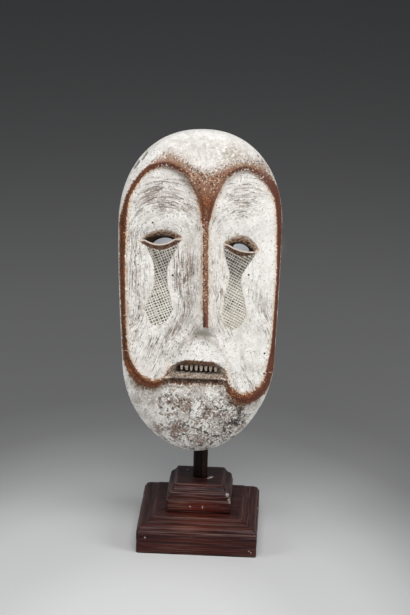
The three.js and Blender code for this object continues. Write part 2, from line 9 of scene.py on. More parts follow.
# %% Load the fixed frame
import math
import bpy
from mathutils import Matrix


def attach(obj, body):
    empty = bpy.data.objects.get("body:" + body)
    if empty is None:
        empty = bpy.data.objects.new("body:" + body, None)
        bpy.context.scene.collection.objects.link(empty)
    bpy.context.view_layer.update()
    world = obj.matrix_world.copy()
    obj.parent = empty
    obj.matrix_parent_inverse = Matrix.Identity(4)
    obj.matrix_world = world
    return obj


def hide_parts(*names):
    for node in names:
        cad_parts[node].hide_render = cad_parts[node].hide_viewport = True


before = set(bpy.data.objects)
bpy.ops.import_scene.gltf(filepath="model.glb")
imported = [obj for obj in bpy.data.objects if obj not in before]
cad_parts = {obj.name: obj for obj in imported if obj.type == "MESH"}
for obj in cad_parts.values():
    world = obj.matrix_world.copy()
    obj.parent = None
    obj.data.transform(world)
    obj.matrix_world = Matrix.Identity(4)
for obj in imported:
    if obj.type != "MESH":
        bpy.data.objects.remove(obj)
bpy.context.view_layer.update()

from types import SimpleNamespace

import bmesh
import bpy
import numpy as np
from mathutils import Matrix, Vector
from mathutils.geometry import delaunay_2d_cdt
from mathutils.kdtree import KDTree

MM = 0.001

# %% [markdown]
# ## The studio
# The photograph is taken from a little above, with a long lens. The camera is placed by its own three
# turns: yaw, pitch and roll. A focal length in pixels becomes a lens in millimetres through the sensor's
# long side, which Blender spreads over the picture's long side.

# %% Camera
FOCAL_PX = 2098
LONG_SIDE_PX = 615
CAMERA_PLACE = Vector((0.081, -1.999, 0.894))
YAW, PITCH, ROLL = math.radians(-2.31), math.radians(18), math.radians(1.5)

forward = Vector((math.sin(YAW) * math.cos(PITCH), math.cos(YAW) * math.cos(PITCH), -math.sin(PITCH)))
level = Vector((math.cos(YAW), -math.sin(YAW), 0))
upward = level.cross(forward)
right = level * math.cos(ROLL) + upward * math.sin(ROLL)
top = upward * math.cos(ROLL) - level * math.sin(ROLL)


def show(name, data):
    """Puts an object in the scene."""
    thing = bpy.data.objects.new(name, data)
    bpy.context.scene.collection.objects.link(thing)
    return thing


camera = show("camera", bpy.data.cameras.new("camera"))
camera.data.lens = camera.data.sensor_width * FOCAL_PX / LONG_SIDE_PX
turn = Matrix((right, top, -forward)).transposed().to_4x4()
camera.matrix_world = Matrix.Translation(CAMERA_PLACE) @ turn
bpy.context.scene.camera = camera
bpy.context.scene.view_settings.view_transform = "Standard"
print("lens", round(camera.data.lens, 1), "mm")

# %% [markdown]
# ## A small helper for node trees
# Materials and Geometry Nodes are both trees of nodes, with wires that carry values from one to the next.
# They could be drawn by hand in the node editor, but a long recipe soon becomes a tangle. Here wires are
# added and multiplied as numbers are, and each sum adds the node that works it out. A recipe then reads
# as a short list of steps.


# %% Wires and nets
def operator(operation, swapped=False):
    """A Python operator between wires that adds the node for it."""
    return lambda a, b: a.net.math(operation, *((b, a) if swapped else (a, b)))


class Wire:
    """A value that leaves a node."""

    def __init__(self, net, socket):
        self.net, self.socket = net, socket

    def __getitem__(self, output):
        return Wire(self.net, self.socket.node.outputs[output])

    __add__, __radd__ = operator("ADD"), operator("ADD", True)
    __sub__, __rsub__ = operator("SUBTRACT"), operator("SUBTRACT", True)
    __mul__, __rmul__ = operator("MULTIPLY"), operator("MULTIPLY", True)
    __truediv__, __rtruediv__ = operator("DIVIDE"), operator("DIVIDE", True)

    def __abs__(self):
        return self.net.math("ABSOLUTE", self)

    def window(self, low, high, out_low=0.0, out_high=1.0):
        """Rises smoothly from out_low to out_high as the value goes from low to high."""
        return self.net.add("ShaderNodeMapRange", {0: self, 1: low, 2: high, 3: out_low, 4: out_high},
                            interpolation_type="SMOOTHSTEP")


class Net:
    """Adds nodes to one tree and joins them."""

    def __init__(self, tree):
        self.tree = tree

    def feed(self, socket, value):
        if isinstance(value, Wire):
            self.tree.links.new(value.socket, socket)
        elif socket.type == "VECTOR" and isinstance(value, (int, float)):
            socket.default_value = (value,) * 3
        else:
            socket.default_value = value

    def node(self, kind, inputs=None, **settings):
        node = self.tree.nodes.new(kind)
        for name, value in settings.items():
            setattr(node, name, value)
        for name, value in (inputs or {}).items():
            self.feed(node.inputs[name], value)
        return node

    def add(self, kind, inputs=None, **settings):
        """Adds a node and returns the wire from its first output in use."""
        node = self.node(kind, inputs, **settings)
        return Wire(self, next(socket for socket in node.outputs if socket.enabled))

    def math(self, operation, *values):
        """One sum, on vectors as soon as one of the values is a vector."""
        on_vectors = any(isinstance(v, tuple) or isinstance(v, Wire) and v.socket.type in ("VECTOR", "RGBA")
                         for v in values)
        kind = "ShaderNodeVectorMath" if on_vectors else "ShaderNodeMath"
        return self.add(kind, dict(enumerate(values)), operation=operation)

    def most(self, first, *others):
        for other in others:
            first = self.math("MAXIMUM", first, other)
        return first

    def length(self, vector):
        return self.math("LENGTH", vector)

    def split(self, vector):
        parts = self.add("ShaderNodeSeparateXYZ", {0: vector})
        return [parts[axis] for axis in "XYZ"]

    def join(self, x, y, z):
        return self.add("ShaderNodeCombineXYZ", {0: x, 1: y, 2: z})

    def noise(self, vector, scale=1.0, detail=2.0, roughness=0.55, distortion=0.0):
        return self.add("ShaderNodeTexNoise", {"Vector": vector, "Scale": scale, "Detail": detail,
                                               "Roughness": roughness, "Distortion": distortion})

    def blend(self, amount, low, high):
        return self.add("ShaderNodeMix", {0: amount, 2: low, 3: high}, data_type="FLOAT")

    def colour(self, amount, low, high):
        return self.add("ShaderNodeMix", {0: amount, 6: low, 7: high}, data_type="RGBA")

    def coats(self, tone, *coats):
        """Lays (mask, colour) coats over a tone, one after another."""
        for mask, colour in coats:
            tone = self.colour(mask, tone, colour)
        return tone

    def ramp(self, value, stops):
        node = self.node("ShaderNodeValToRGB", {0: value})
        points = node.color_ramp.elements
        while len(points) < len(stops):
            points.new(1)
        for point, (place, tone) in zip(points, stops):
            point.position, point.color = place, tone
        return Wire(self, node.outputs[0])

    def mark(self, name, output="Fac"):
        """A value kept at the points of the mesh."""
        return self.add("ShaderNodeAttribute", attribute_name=name)[output]

    def place(self):
        return self.add("ShaderNodeTexCoord")["Object"]

    def place_mm(self):
        return self.place() * (1 / MM)


print("a wire knows + - * /, abs and window; a net knows",
      ", ".join(name for name in vars(Net) if not name.startswith("_")))

# %% [markdown]
# ## Colours and materials
# Colours are read from a picture as numbers from 0 to 255, but Blender mixes light in linear values, so
# each colour is converted once and kept under a plain name. Every material ends in the same surface
# shader, with a bump where fine relief is too small to model.


# %% Colours, materials and shared effects
def rgb(red, green, blue):
    """A screen colour from 0 to 255 as Blender's linear colour."""
    return *(((v / 255 + 0.055) / 1.055) ** 2.4 if v > 10 else v / 3294 for v in (red, green, blue)), 1


def palette(**tones):
    """Screen colours under their names."""
    return SimpleNamespace(**{name: rgb(*tone) for name, tone in tones.items()})


def new_material(name):
    material = bpy.data.materials.new(name)
    material.use_nodes = True
    material.node_tree.nodes.clear()
    return material, Net(material.node_tree)


def end_surface(net, tone, roughness, shine=0.5, relief=None, strength=0.3, deep_mm=0.4, **more):
    """Ends a material: its colour, roughness, shine and the bump that relief presses in."""
    looks = {"Base Color": tone, "Roughness": roughness, "Specular IOR Level": shine, **more}
    if relief is not None:
        looks["Normal"] = net.add("ShaderNodeBump", {"Strength": strength, "Distance": deep_mm * MM,
                                                     "Height": relief})
    net.node("ShaderNodeOutputMaterial", {"Surface": net.add("ShaderNodeBsdfPrincipled", looks)})


SOCKETS = {float: "NodeSocketFloat", tuple: "NodeSocketVector"}


def shader_group(name, recipe, outputs, **inputs):
    """A reusable effect: each input is a name with its default, outputs are names of values."""
    tree = bpy.data.node_groups.new(name, "ShaderNodeTree")
    for label, default in inputs.items():
        socket = tree.interface.new_socket(label, in_out="INPUT", socket_type=SOCKETS[type(default)])
        socket.default_value = default
    for label in outputs:
        tree.interface.new_socket(label, in_out="OUTPUT", socket_type="NodeSocketFloat")
    net = Net(tree)
    results = recipe(net, net.add("NodeGroupInput"))
    net.node("NodeGroupOutput", dict(zip(outputs, results)))
    return tree


def effect(net, tree, **inputs):
    """Places a shared effect in a material and returns the wire from its first output."""
    return net.add("ShaderNodeGroup", inputs, node_tree=tree)


print("white is", [round(v, 3) for v in rgb(242, 240, 234)[:3]], "in linear light")

# %% [markdown]
# The floor and the backdrop are one wide disc. In the photograph a pool of light lies round the stand and
# falls off into grey behind it. Copying every lamp and wall would only guess at that, so the disc carries
# the fall-off as a ramp of tones over the distance from the middle, and three soft area lights do the rest.

# %% Floor, backdrop tone and lights
FLOOR_REACH, FLOOR_SIDES = 9.0, 96
FLOOR_MIDDLE = (-0.035, -0.34, 0)
# The pool of light on the floor is narrower across than it is deep.
FLOOR_SHAPE = (1.75, 1, 1)
FLOOR_ROUGHNESS, FLOOR_SHINE = 0.75, 0.2
# A patch of painted light on the floor behind the mask stands for the lit backdrop, which shows only through
# the eye slits.
GLOW_MIDDLE, GLOW_SHAPE, GLOW = (-0.045, 1.06, 0), (1 / 0.13, 1 / 0.2, 0), rgb(236, 240, 244)
# Distance from the middle of the pool, and its grey.
FLOOR_TONES = [(0.0, 221), (0.2, 217), (0.3, 205), (0.4, 203), (0.48, 190), (0.56, 164), (0.65, 134),
               (0.75, 119), (0.9, 117), (1.2, 118), (1.6, 114), (2.1, 107), (2.8, 102), (3.6, 98)]
# Lights: name, place, target, size and watts.
LIGHTS = [("top_front", (0.1, -1.1, 1.9), (0, 0, 0.22), (1.3, 0.9), 27),
          ("left_side", (-1.5, -0.75, 0.85), (0, 0, 0.25), (0.8, 1.1), 9.3),
          ("right_side", (1.5, -0.75, 0.85), (0, 0, 0.25), (0.8, 1.1), 15.6)]
SKY, SKY_STRENGTH = rgb(150, 152, 155), 0.55

rim = [(FLOOR_REACH * math.cos(a), FLOOR_REACH * math.sin(a), 0)
       for a in np.linspace(0, 2 * math.pi, FLOOR_SIDES, endpoint=False)]
disc = bpy.data.meshes.new("floor")
disc.from_pydata(rim, [], [list(range(FLOOR_SIDES))])
floor_material, net = new_material("studio_floor")
reach = net.length((net.place() - FLOOR_MIDDLE) * FLOOR_SHAPE)
last = FLOOR_TONES[-1][0]
glow = net.length((net.place() - GLOW_MIDDLE) * GLOW_SHAPE).window(1.0, 0.3)
pool = net.ramp(reach / last, [(r / last, rgb(t, t, t)) for r, t in FLOOR_TONES])
end_surface(net, net.colour(glow, pool, GLOW), FLOOR_ROUGHNESS, FLOOR_SHINE)
disc.materials.append(floor_material)
show("floor", disc)

for name, place, target, (across, tall), watts in LIGHTS:
    data = bpy.data.lights.new(name, "AREA")
    data.shape, data.size, data.size_y, data.energy = "RECTANGLE", across, tall, watts
    light = show(name, data)
    light.location = place
    light.rotation_euler = (Vector(target) - Vector(place)).to_track_quat("-Z", "Y").to_euler()

world = bpy.data.worlds.new("studio")
world.use_nodes = True
sky = world.node_tree.nodes["Background"].inputs
sky["Color"].default_value, sky["Strength"].default_value = SKY, SKY_STRENGTH
bpy.context.scene.world = world
print("floor and", len(LIGHTS), "lights")

# %% [markdown]
# ## The carved face
# The face is a height field: for each place across (x) and up (z) it has one depth forward of the flat
# back. The carver's forms are written as functions of that place: a domed body, two lobes sunk behind a
# lip, a nose ridge, bevelled lids, sunk patches and a mouth. Sculpting could reach the same forms, but
# numbers can be corrected against the photograph one at a time. All sizes are millimetres in the mask's
# own upright frame; one matrix then leans and turns the whole mask on its post.

# %% Where the mask hangs, and its main sizes
MASK_PLACE = (Matrix.Translation(Vector((-3.5, -9.45, 96)) * MM) @ Matrix.Rotation(math.radians(9), 4, "Z")
              @ Matrix.Rotation(math.radians(-6), 4, "X"))
HEIGHT = 328
CROWN = {"start": 235, "half": 81, "square": 2.2}
CHIN = {"start": 100, "half": 76.3, "square": 1.92}
TAPER_POWER = 1.6
SIDE_REACH = 78
BODY_FALL = 12
# Depths up the mask, as rows of height and depth: the edge, the body, the lobes and the crest.
EDGE_DEPTH = [(0, 8), (30, 11), (95, 27), (235, 28), (290, 19), (328, 9)]
BODY_DEPTH = [(0, 34), (40, 37), (72, 39), (82, 39.5), (104, 46), (128, 46), (150, 46), (240, 49),
              (270, 49.5), (300, 48), (328, 44)]
LOBE_INNER_DEPTH = [(60, 43), (100, 44.5), (160, 44), (224, 43), (250, 45), (272, 42.5), (296, 41)]
LOBE_OUTER_DEPTH = [(60, 39), (100, 37.5), (220, 36.5), (280, 38), (296, 39)]
CREST_DEPTH = [(139, 61.5), (166, 57), (224, 50.8), (262, 49.6), (300, 47)]
# Knots round each lobe.
LEFT_LOBE = [(-40, 296), (-56, 290.5), (-68, 275.5), (-75, 257), (-77.6, 215), (-77.2, 165), (-75.2, 118),
             (-67.5, 95), (-53, 82), (-39, 84.5), (-33, 98), (-20, 130), (-4.4, 139.5), (-3.1, 185),
             (-3.3, 232), (-7, 262), (-17, 283), (-28, 292)]
RIGHT_LOBE = [(40, 291.5), (52, 285), (62, 273.5), (69, 257), (71.8, 215), (71.6, 165), (69, 118),
              (64.5, 93), (60, 74), (47, 64), (33, 65.5), (24.5, 78), (21.5, 97), (14, 128), (4.4, 139.5),
              (3.2, 185), (3.4, 228), (7.5, 256), (18, 279.5), (28, 288)]
print("mask", HEIGHT, "mm tall, lobes of", len(LEFT_LOBE), "and", len(RIGHT_LOBE), "knots")

# %% [markdown]
# The forms need a few curves: smooth steps, a quarter round as a gouge leaves it, smooth tables of sizes
# up the mask, closed rings round the outline and the lobes, and the distance of a place to such a ring.


# %% Curves and rings
def smooth(low, high, v):
    t = np.clip((v - low) / (high - low), 0, 1)
    return t * t * (3 - 2 * t)


def mix(a, b, t):
    return a + (b - a) * t


def quarter(t):
    """A quarter round that rises from 0 at the edge to 1."""
    return np.sqrt(1 - (1 - np.clip(t, 0, 1)) ** 2)


def straight(rows, v):
    return np.interp(v, [r[0] for r in rows], [r[1] for r in rows])


def along(rows, v):
    """A smooth curve through a table of (place, value) rows."""
    x, y = np.array(rows, float).T
    last = len(x) - 1
    slope = np.array([(y[min(last, i + 1)] - y[max(0, i - 1)]) / (x[min(last, i + 1)] - x[max(0, i - 1)])
                      for i in range(last + 1)])
    v = np.clip(v, x[0], x[-1])
    k = np.clip(np.searchsorted(x, v), 1, last)
    span = x[k] - x[k - 1]
    t = (v - x[k - 1]) / span
    return (mix(y[k - 1], y[k], t * t * (3 - 2 * t)) + span * slope[k - 1] * t * (1 - t) ** 2
            - span * slope[k] * t * t * (1 - t))


def axis_at(z):
    return -0.8 - 2.3 * np.sin(np.pi * z / HEIGHT)


def evenly(ring, count):
    """The same closed ring with its points evenly spaced."""
    closed = np.vstack([ring, ring[:1]])
    run = np.concatenate([[0], np.cumsum(np.hypot(*np.diff(closed, axis=0).T))])
    want = np.arange(count) * run[-1] / count
    return np.column_stack([np.interp(want, run, closed[:, 0]), np.interp(want, run, closed[:, 1])])


def outline_ring(count):
    """The mask's outline: a round chin, slightly tapered sides and a fuller crown."""
    a = np.linspace(0, np.pi / 2, 181)
    t = np.linspace(0, 1, 121)[1:-1]
    chin, crown = 2 / CHIN["square"], 2 / CROWN["square"]
    half = np.vstack([
        np.column_stack([CHIN["half"] * np.sin(a) ** chin, CHIN["start"] * (1 - np.cos(a).clip(0) ** chin)]),
        np.column_stack([mix(CHIN["half"], CROWN["half"], 1 - (1 - t) ** TAPER_POWER),
                         mix(CHIN["start"], CROWN["start"], t)]),
        np.column_stack([CROWN["half"] * np.cos(a).clip(0) ** crown,
                         CROWN["start"] + (HEIGHT - CROWN["start"]) * np.sin(a) ** crown])])
    middle = axis_at(half[:, 1])
    right_side = np.column_stack([middle + half[:, 0], half[:, 1]])
    left_side = np.column_stack([middle - half[:, 0], half[:, 1]])[-2:0:-1]
    return evenly(np.vstack([right_side, left_side]), count)


def curve_ring(knots, count, steps=24):
    """A closed smooth curve through the knots."""
    p = np.array(knots, float)
    t = (np.arange(steps) / steps)[:, None]
    pieces = []
    for i in range(len(p)):
        a, b, c, d = (p[(i + k) % len(p)] for k in (-1, 0, 1, 2))
        lead, trail = (c - a) / 2, (d - b) / 2
        pieces.append(b + lead * t + (3 * (c - b) - 2 * lead - trail) * t ** 2
                      + (2 * (b - c) + lead + trail) * t ** 3)
    return evenly(np.vstack(pieces), count)


def inset(ring, distance):
    """Moves each point of a ring inward."""
    before, after = np.roll(ring, 1, 0), np.roll(ring, -1, 0)
    area = np.sum(ring[:, 0] * after[:, 1] - after[:, 0] * ring[:, 1])
    way = after - before
    way = way / np.hypot(*way.T)[:, None] * np.sign(area)
    return ring + np.column_stack([-way[:, 1], way[:, 0]]) * np.asarray(distance).reshape(-1, 1)


def inside_mm(ring, x, z):
    """Distance from each place to the ring, positive inside it."""
    best = np.full(x.shape, 1e12)
    odd = np.zeros(x.shape, bool)
    for (x0, z0), (x1, z1) in zip(np.roll(ring, 1, 0), ring):
        dx, dz = x1 - x0, z1 - z0
        t = np.clip(((x - x0) * dx + (z - z0) * dz) / max(dx * dx + dz * dz, 1e-12), 0, 1)
        best = np.minimum(best, (x - x0 - t * dx) ** 2 + (z - z0 - t * dz) ** 2)
        crosses = (z1 > z) != (z0 > z)
        odd ^= crosses & (x < x0 + (z - z0) / (dz if dz else 1e-12) * dx)
    return np.where(odd, np.sqrt(best), -np.sqrt(best))


def value_noise(x, z, size, seed):
    """Smooth random hills about as wide as size, from -1 to 1."""
    def corner(i, j):
        s = np.sin(i * 127.1 + j * 311.7 + seed * 74.7) * 43758.5453
        return (s - np.floor(s)) * 2 - 1
    i, j = np.floor(x / size), np.floor(z / size)
    u, v = x / size - i, z / size - j
    u, v = u * u * (3 - 2 * u), v * v * (3 - 2 * v)
    return mix(mix(corner(i, j), corner(i + 1, j), u), mix(corner(i, j + 1), corner(i + 1, j + 1), u), v)


OUTLINE = outline_ring(480)
LOBES = [curve_ring(LEFT_LOBE, 440), curve_ring(RIGHT_LOBE, 440)]
print("outline", round(float(np.ptp(OUTLINE[:, 0])), 1), "x", round(float(np.ptp(OUTLINE[:, 1])), 1), "mm")

# %% [markdown]
# On the real mask the nose, lids, patches and mouth were cut one after another into the roughed face. Each
# is its own small function here, so it can be checked and changed alone.

# %% Nose, eyes, patches and mouth
NOSE = {"tip": 140.5, "base": 128.5, "top_half": 6, "base_half": 13.5, "start": 250, "fade": 275,
        "crest_half": 2.6}
EYES = [{"x": -42.3, "z": 224.6, "turn": 4, "half": 21.5, "up": 9.4, "down": 10.6},
        {"x": 36.8, "z": 215.8, "turn": -14, "half": 19, "up": 12, "down": 8.8}]
SLITS = [{"x": -43.6, "z": 223.8, "turn": 2, "half": 14.8, "up": 2.4, "down": 5.0},
         {"x": 37, "z": 214.3, "turn": -16, "half": 13.4, "up": 4.2, "down": 2.4}]
# How deep the lids slope in, and the share of the lens where they stop.
LID_DEPTH, LID_FLOOR = 4.6, 0.36
# Behind the lids each slit narrows to a blunt throat and widens again to the back, so its ends stay dark.
SLIT_THROATS = [{"x": -40.2, "z": 220.2, "turn": 10, "half": 10.4, "up": 4.2, "down": 4.4, "blunt": 1.6},
                {"x": 37.2, "z": 213.4, "turn": -20, "half": 8.4, "up": 4.2, "down": 4, "blunt": 1.3}]
THROAT_DEPTH, BACK_FLARE = 35.5, 1.14
BROW = {"above": 20, "swell": 1.6, "across": 20, "along": 13, "edge": 6}
# Half width of each sunk patch, as rows of share down the patch and width.
LEFT_PATCH_HALF = [(0, 16.5), (0.06, 15.5), (0.18, 10.8), (0.25, 8.4), (0.34, 7.2), (0.5, 7.3), (0.58, 9),
                   (0.66, 11.1), (0.79, 14.1), (0.91, 11), (0.97, 6.2), (1, 0)]
RIGHT_PATCH_HALF = [(0, 17.5), (0.06, 17), (0.18, 12.8), (0.32, 7.2), (0.46, 7.4), (0.62, 10.6),
                    (0.79, 12.9), (0.91, 10), (0.97, 5.7), (1, 0)]
PATCHES = [{"top": 221, "bottom": 137, "half": LEFT_PATCH_HALF,
            "axis": [(138, -46), (160, -44), (178, -42.4), (192, -42.8), (216, -41.5)]},
           {"top": 215, "bottom": 132, "half": RIGHT_PATCH_HALF,
            "axis": [(133, 29.5), (152, 30.5), (166, 30.2), (181, 30.4), (192, 32.4), (210, 36)]}]
PATCH_SINK, PATCH_EDGE = 1.1, 2.2
MOUTH = {"left": -37, "right": 22.5, "top_left": -25, "top_right": 16.5, "end": 6}
MOUTH_TOP = {"x": -4.5, "z": 101.3, "slope": -0.088}
MOUTH_BOTTOM = {"x": -4.5, "z": 78.2, "slope": -0.04}
# Depth down the mouth, as rows of share and depth.
MOUTH_PROFILE = [(-0.1, 46), (0, 45.4), (0.05, 44.2), (0.2, 40.8), (0.24, 36.2), (0.55, 35.6), (0.59, 41),
                 (0.64, 43), (0.71, 43.3), (0.77, 42), (0.82, 39), (0.87, 36.8), (0.95, 36.9),
                 (1.16, 39.2)]
MUZZLE_ARCH = {"x": -5, "z": MOUTH_TOP["z"] - 1, "turn": -4, "half": 29, "up": 25, "down": 4}
CREASE = 1.5
FOLD = {"width": 5, "from": (88, 106), "to": (150, 190)}
UNDER_EDGE = {"width": 9, "to": (88, 112)}
MOUTH_SIDE = {"from": (76, 86), "middle": -6, "reach": (22, 30)}
CROWN_LIP = {"width": 8, "drop": 2.2, "from": (240, 285)}
LOBE_HOLLOW, RIM_ROUND = 1.6, 4
print("eye slits", SLITS[1]["x"] - SLITS[0]["x"], "mm apart")


# %% Shapes of the nose, lids and mouth
def crest_shape(x, z):
    """Share of the nose ridge at a place: 1 on its crest line, 0 on the cheeks."""
    ends = smooth(NOSE["base"], NOSE["tip"], z) * (1 - smooth(NOSE["start"], NOSE["fade"], z))
    spread = np.clip((NOSE["start"] - z) / (NOSE["start"] - NOSE["tip"]), 0, 1)
    half = mix(NOSE["top_half"], NOSE["base_half"], spread)
    away = np.clip((np.abs(x) - NOSE["crest_half"]) / (half - NOSE["crest_half"]), 0, 1)
    return mix((1 - away) ** 1.4, 1 - away, spread) * ends


def lens_reach(place, x, z):
    """0 in the middle of an almond shape, 1 on its edge, more outside."""
    a = math.radians(place["turn"])
    dx, dz = x - place["x"], z - place["z"]
    u, v = dx * math.cos(a) + dz * math.sin(a), dz * math.cos(a) - dx * math.sin(a)
    return (u / place["half"]) ** 2 + np.abs(v) / np.where(v > 0, place["up"], place["down"])


def eye_hollow(eye, x, z):
    return LID_DEPTH * np.clip((1 - lens_reach(eye, x, z)) / (1 - LID_FLOOR), 0, 1)


def brow_swell(eye, x, z):
    dx, dz = (x - eye["x"]) / BROW["across"], (z - eye["z"] - BROW["above"]) / BROW["along"]
    return BROW["swell"] * np.exp(-dx * dx - dz * dz)


def patch_mm(patch, x, z):
    """Distance inside a sunk patch, sideways to its edge."""
    share = (patch["top"] - z) / (patch["top"] - patch["bottom"])
    edge = along(patch["half"], share) - np.abs(x - along(patch["axis"], z))
    return np.where((share < 0) | (share > 1), -1.0, edge)


def mouth_lines(x):
    """Heights of the mouth's top and lower edge."""
    return [line["z"] + line["slope"] * (x - line["x"]) for line in (MOUTH_TOP, MOUTH_BOTTOM)]


def mouth_share(x, z):
    """0 along the top of the mouth, 1 along its lower edge."""
    high, low = mouth_lines(x)
    return (high - z) / (high - low)


def mouth_inside(x, z):
    """Distance inside the mouth's slanting ends."""
    share = np.clip(mouth_share(x, z), 0, 1)
    return np.minimum(x - mix(MOUTH["top_left"], MOUTH["left"], share),
                      mix(MOUTH["top_right"], MOUTH["right"], share) - x)


def lobe_share(x, z, rim, in_lobe):
    """Share of the lobe's own depth at a distance inside its edge."""
    by_lip = smooth(*FOLD["from"], z) * (1 - smooth(*FOLD["to"], z))
    width = mix(CREASE, FOLD["width"], by_lip)
    sharp = smooth(-width / 2, width / 2, in_lobe)
    across_mouth = 1 - smooth(*MOUTH_SIDE["reach"], np.abs(x - MOUTH_SIDE["middle"]))
    under = (1 - smooth(*UNDER_EDGE["to"], z)) * (1 - smooth(*MOUTH_SIDE["from"], z) * across_mouth)
    return mix(sharp, quarter(1 + in_lobe / UNDER_EDGE["width"]) * quarter(rim / RIM_ROUND), under)


print("mouth", [round(z, 1) for z in mouth_lines(0)], "mm up at its middle")

# %% [markdown]
# A carved surface is never quite even: the knife leaves shallow facets and the wood moves. Low hills of
# noise, a fraction of a millimetre high, give the light something to catch. Insect holes, rim chips and
# an old groove in the rim are small dents at named places.

# %% Wear that has a shape
# Facets: height, width and seed.
FACETS = [(0.22, 13, 1), (0.13, 6, 2), (0.05, 2.6, 3)]
INSECT_HOLES = [(-51.2, 240.6), (-31.3, 188.2), (44.3, 187.6), (61.9, 107.6), (61.7, 87.0)]
HOLE_RADIUS, HOLE_DEPTH = 0.75, 1.8
CALM_RIM = 5
# Dents: x, z, width, length and depth.
RIM_DENTS = [(-67.2, 290, 2.2, 9, 1.3), (-60.5, 299.5, 2.0, 8, 1.2), (55, 301.5, 1.4, 3.5, 1.2),
             (58.8, 46.1, 3.2, 3, 1.6), (-74.5, 120, 1.2, 2, 0.8), (66, 68, 1.6, 2.2, 0.9),
             (-30, 8, 2, 2.4, 0.8)]


def facets(x, z):
    """Shallow knife facets over the whole face."""
    places = ((x, z), (x + 0.4 * z, z * 0.6), (x * 1.6, z * 0.7))
    return sum(high * value_noise(*place, wide, seed) for place, (high, wide, seed) in zip(places, FACETS))


def dents(x, z):
    """Depth taken away by insect holes and by knocks along the rim."""
    taken = np.zeros_like(x)
    for hx, hz in INSECT_HOLES:
        taken += HOLE_DEPTH * (1 - smooth(HOLE_RADIUS * 0.7, HOLE_RADIUS * 1.4, np.hypot(x - hx, z - hz)))
    middle = axis_at(HEIGHT / 2)
    for dx, dz, across, length, deep in RIM_DENTS:
        way = math.atan2(dz - HEIGHT / 2, dx - middle)
        u = (x - dx) * math.cos(way) + (z - dz) * math.sin(way)
        v = (z - dz) * math.cos(way) - (x - dx) * math.sin(way)
        taken += deep * np.exp(-(u / across) ** 2 - (v / length) ** 2)
    return taken


def face_depth(x, z, rim, in_lobe):
    """Depth of the finished front; rim and in_lobe are distances inside the outline and the lobes."""
    edge = along(EDGE_DEPTH, z)
    across = np.clip(np.abs(x - axis_at(z)) / SIDE_REACH, 0, 1)
    body = along(BODY_DEPTH, z) - BODY_FALL * across ** 2
    rim = np.maximum(0, rim)
    reach = rim / (rim + np.maximum(0, -in_lobe) + 1e-6)
    outer = mix(edge, body, quarter(np.where(in_lobe > 0, 1, reach)))
    lip = 1 - quarter(np.clip(-in_lobe, 0, CROWN_LIP["width"]) / CROWN_LIP["width"])
    outer = outer - CROWN_LIP["drop"] * smooth(*CROWN_LIP["from"], z) * lip
    share = mouth_share(x, z)
    in_mouth = (share >= MOUTH_PROFILE[0][0]) & (share <= MOUTH_PROFILE[-1][0])
    ends = smooth(0, MOUTH["end"], mouth_inside(x, z) + 1)
    outer = np.where(in_mouth, mix(outer, straight(MOUTH_PROFILE, share), ends), outer)
    lobe = mix(along(LOBE_INNER_DEPTH, z), along(LOBE_OUTER_DEPTH, z), across ** LOBE_HOLLOW)
    depth = mix(outer, lobe, lobe_share(x, z, rim, in_lobe))
    depth = np.maximum(depth, mix(depth, along(CREST_DEPTH, z), crest_shape(x, z)))
    for eye, patch in zip(EYES, PATCHES):
        depth = depth + brow_swell(eye, x, z) * smooth(0, BROW["edge"], in_lobe)
        sink = PATCH_SINK * smooth(0, PATCH_EDGE, patch_mm(patch, x, z))
        depth = depth - np.maximum(eye_hollow(eye, x, z), sink)
    return depth + facets(x, z) * smooth(0, CALM_RIM, rim) - dents(x, z)


nose_tip = [np.array([v]) for v in (0.0, 141.0, 80.0, -1.0)]
print("depth on the nose tip", round(float(face_depth(*nose_tip)[0]), 1), "mm")

# %% [markdown]
# An even grid pushed forward would cut across every carved edge. So the mesh follows the carving: rings
# of points run along the rim, the lobe edges, the lids and the patches, and an even field of points fills
# the rest. A constrained Delaunay triangulation joins them and keeps the rims of the eye slits as edges,
# so the front can be sewn to the back through the slits.

# %% Rings and fields of points
SCATTER, CROWDED = 0.06, 0.16


def lens_ring(place, scale, count):
    t = np.linspace(0, 2 * np.pi, count, endpoint=False)
    a = math.radians(place["turn"])
    u = place["half"] * scale * np.cos(t)
    tall = np.where(np.sin(t) > 0, place["up"], -place["down"])
    v = tall * scale * np.abs(np.sin(t)) ** place.get("blunt", 2)
    return np.column_stack([place["x"] + u * math.cos(a) - v * math.sin(a),
                            place["z"] + u * math.sin(a) + v * math.cos(a)])


def patch_ring(patch, offset, rows=70):
    share = np.linspace(0, 1, rows)
    z = mix(patch["top"], patch["bottom"], share)
    half = along(patch["half"], share) - offset
    keep = half > 0.1
    middle = along(patch["axis"], z)
    return np.vstack([np.column_stack([middle + s * half, z])[keep] for s in (-1, 1)])


def field(low, high, pitch, seed):
    """An even field of points in staggered rows, slightly scattered."""
    rng = np.random.default_rng(seed)
    rows = []
    for k, z in enumerate(np.arange(low[1], high[1], pitch * 0.866)):
        x = np.arange(low[0], high[0], pitch) + (k % 2) * pitch / 2
        rows.append(np.column_stack([x, np.full(len(x), z)]))
    points = np.vstack(rows)
    return points + rng.uniform(-SCATTER, SCATTER, points.shape) * pitch


print("an even field has", len(field((0, 0), (10, 10), 1, 1)), "points in a square of 10 mm")


# %% Triangles of a flat plan
def lookup(points):
    """A tree that finds the nearest of the points."""
    tree = KDTree(len(points))
    for i, (x, z) in enumerate(points):
        tree.insert((x, z, 0), i)
    tree.balance()
    return tree


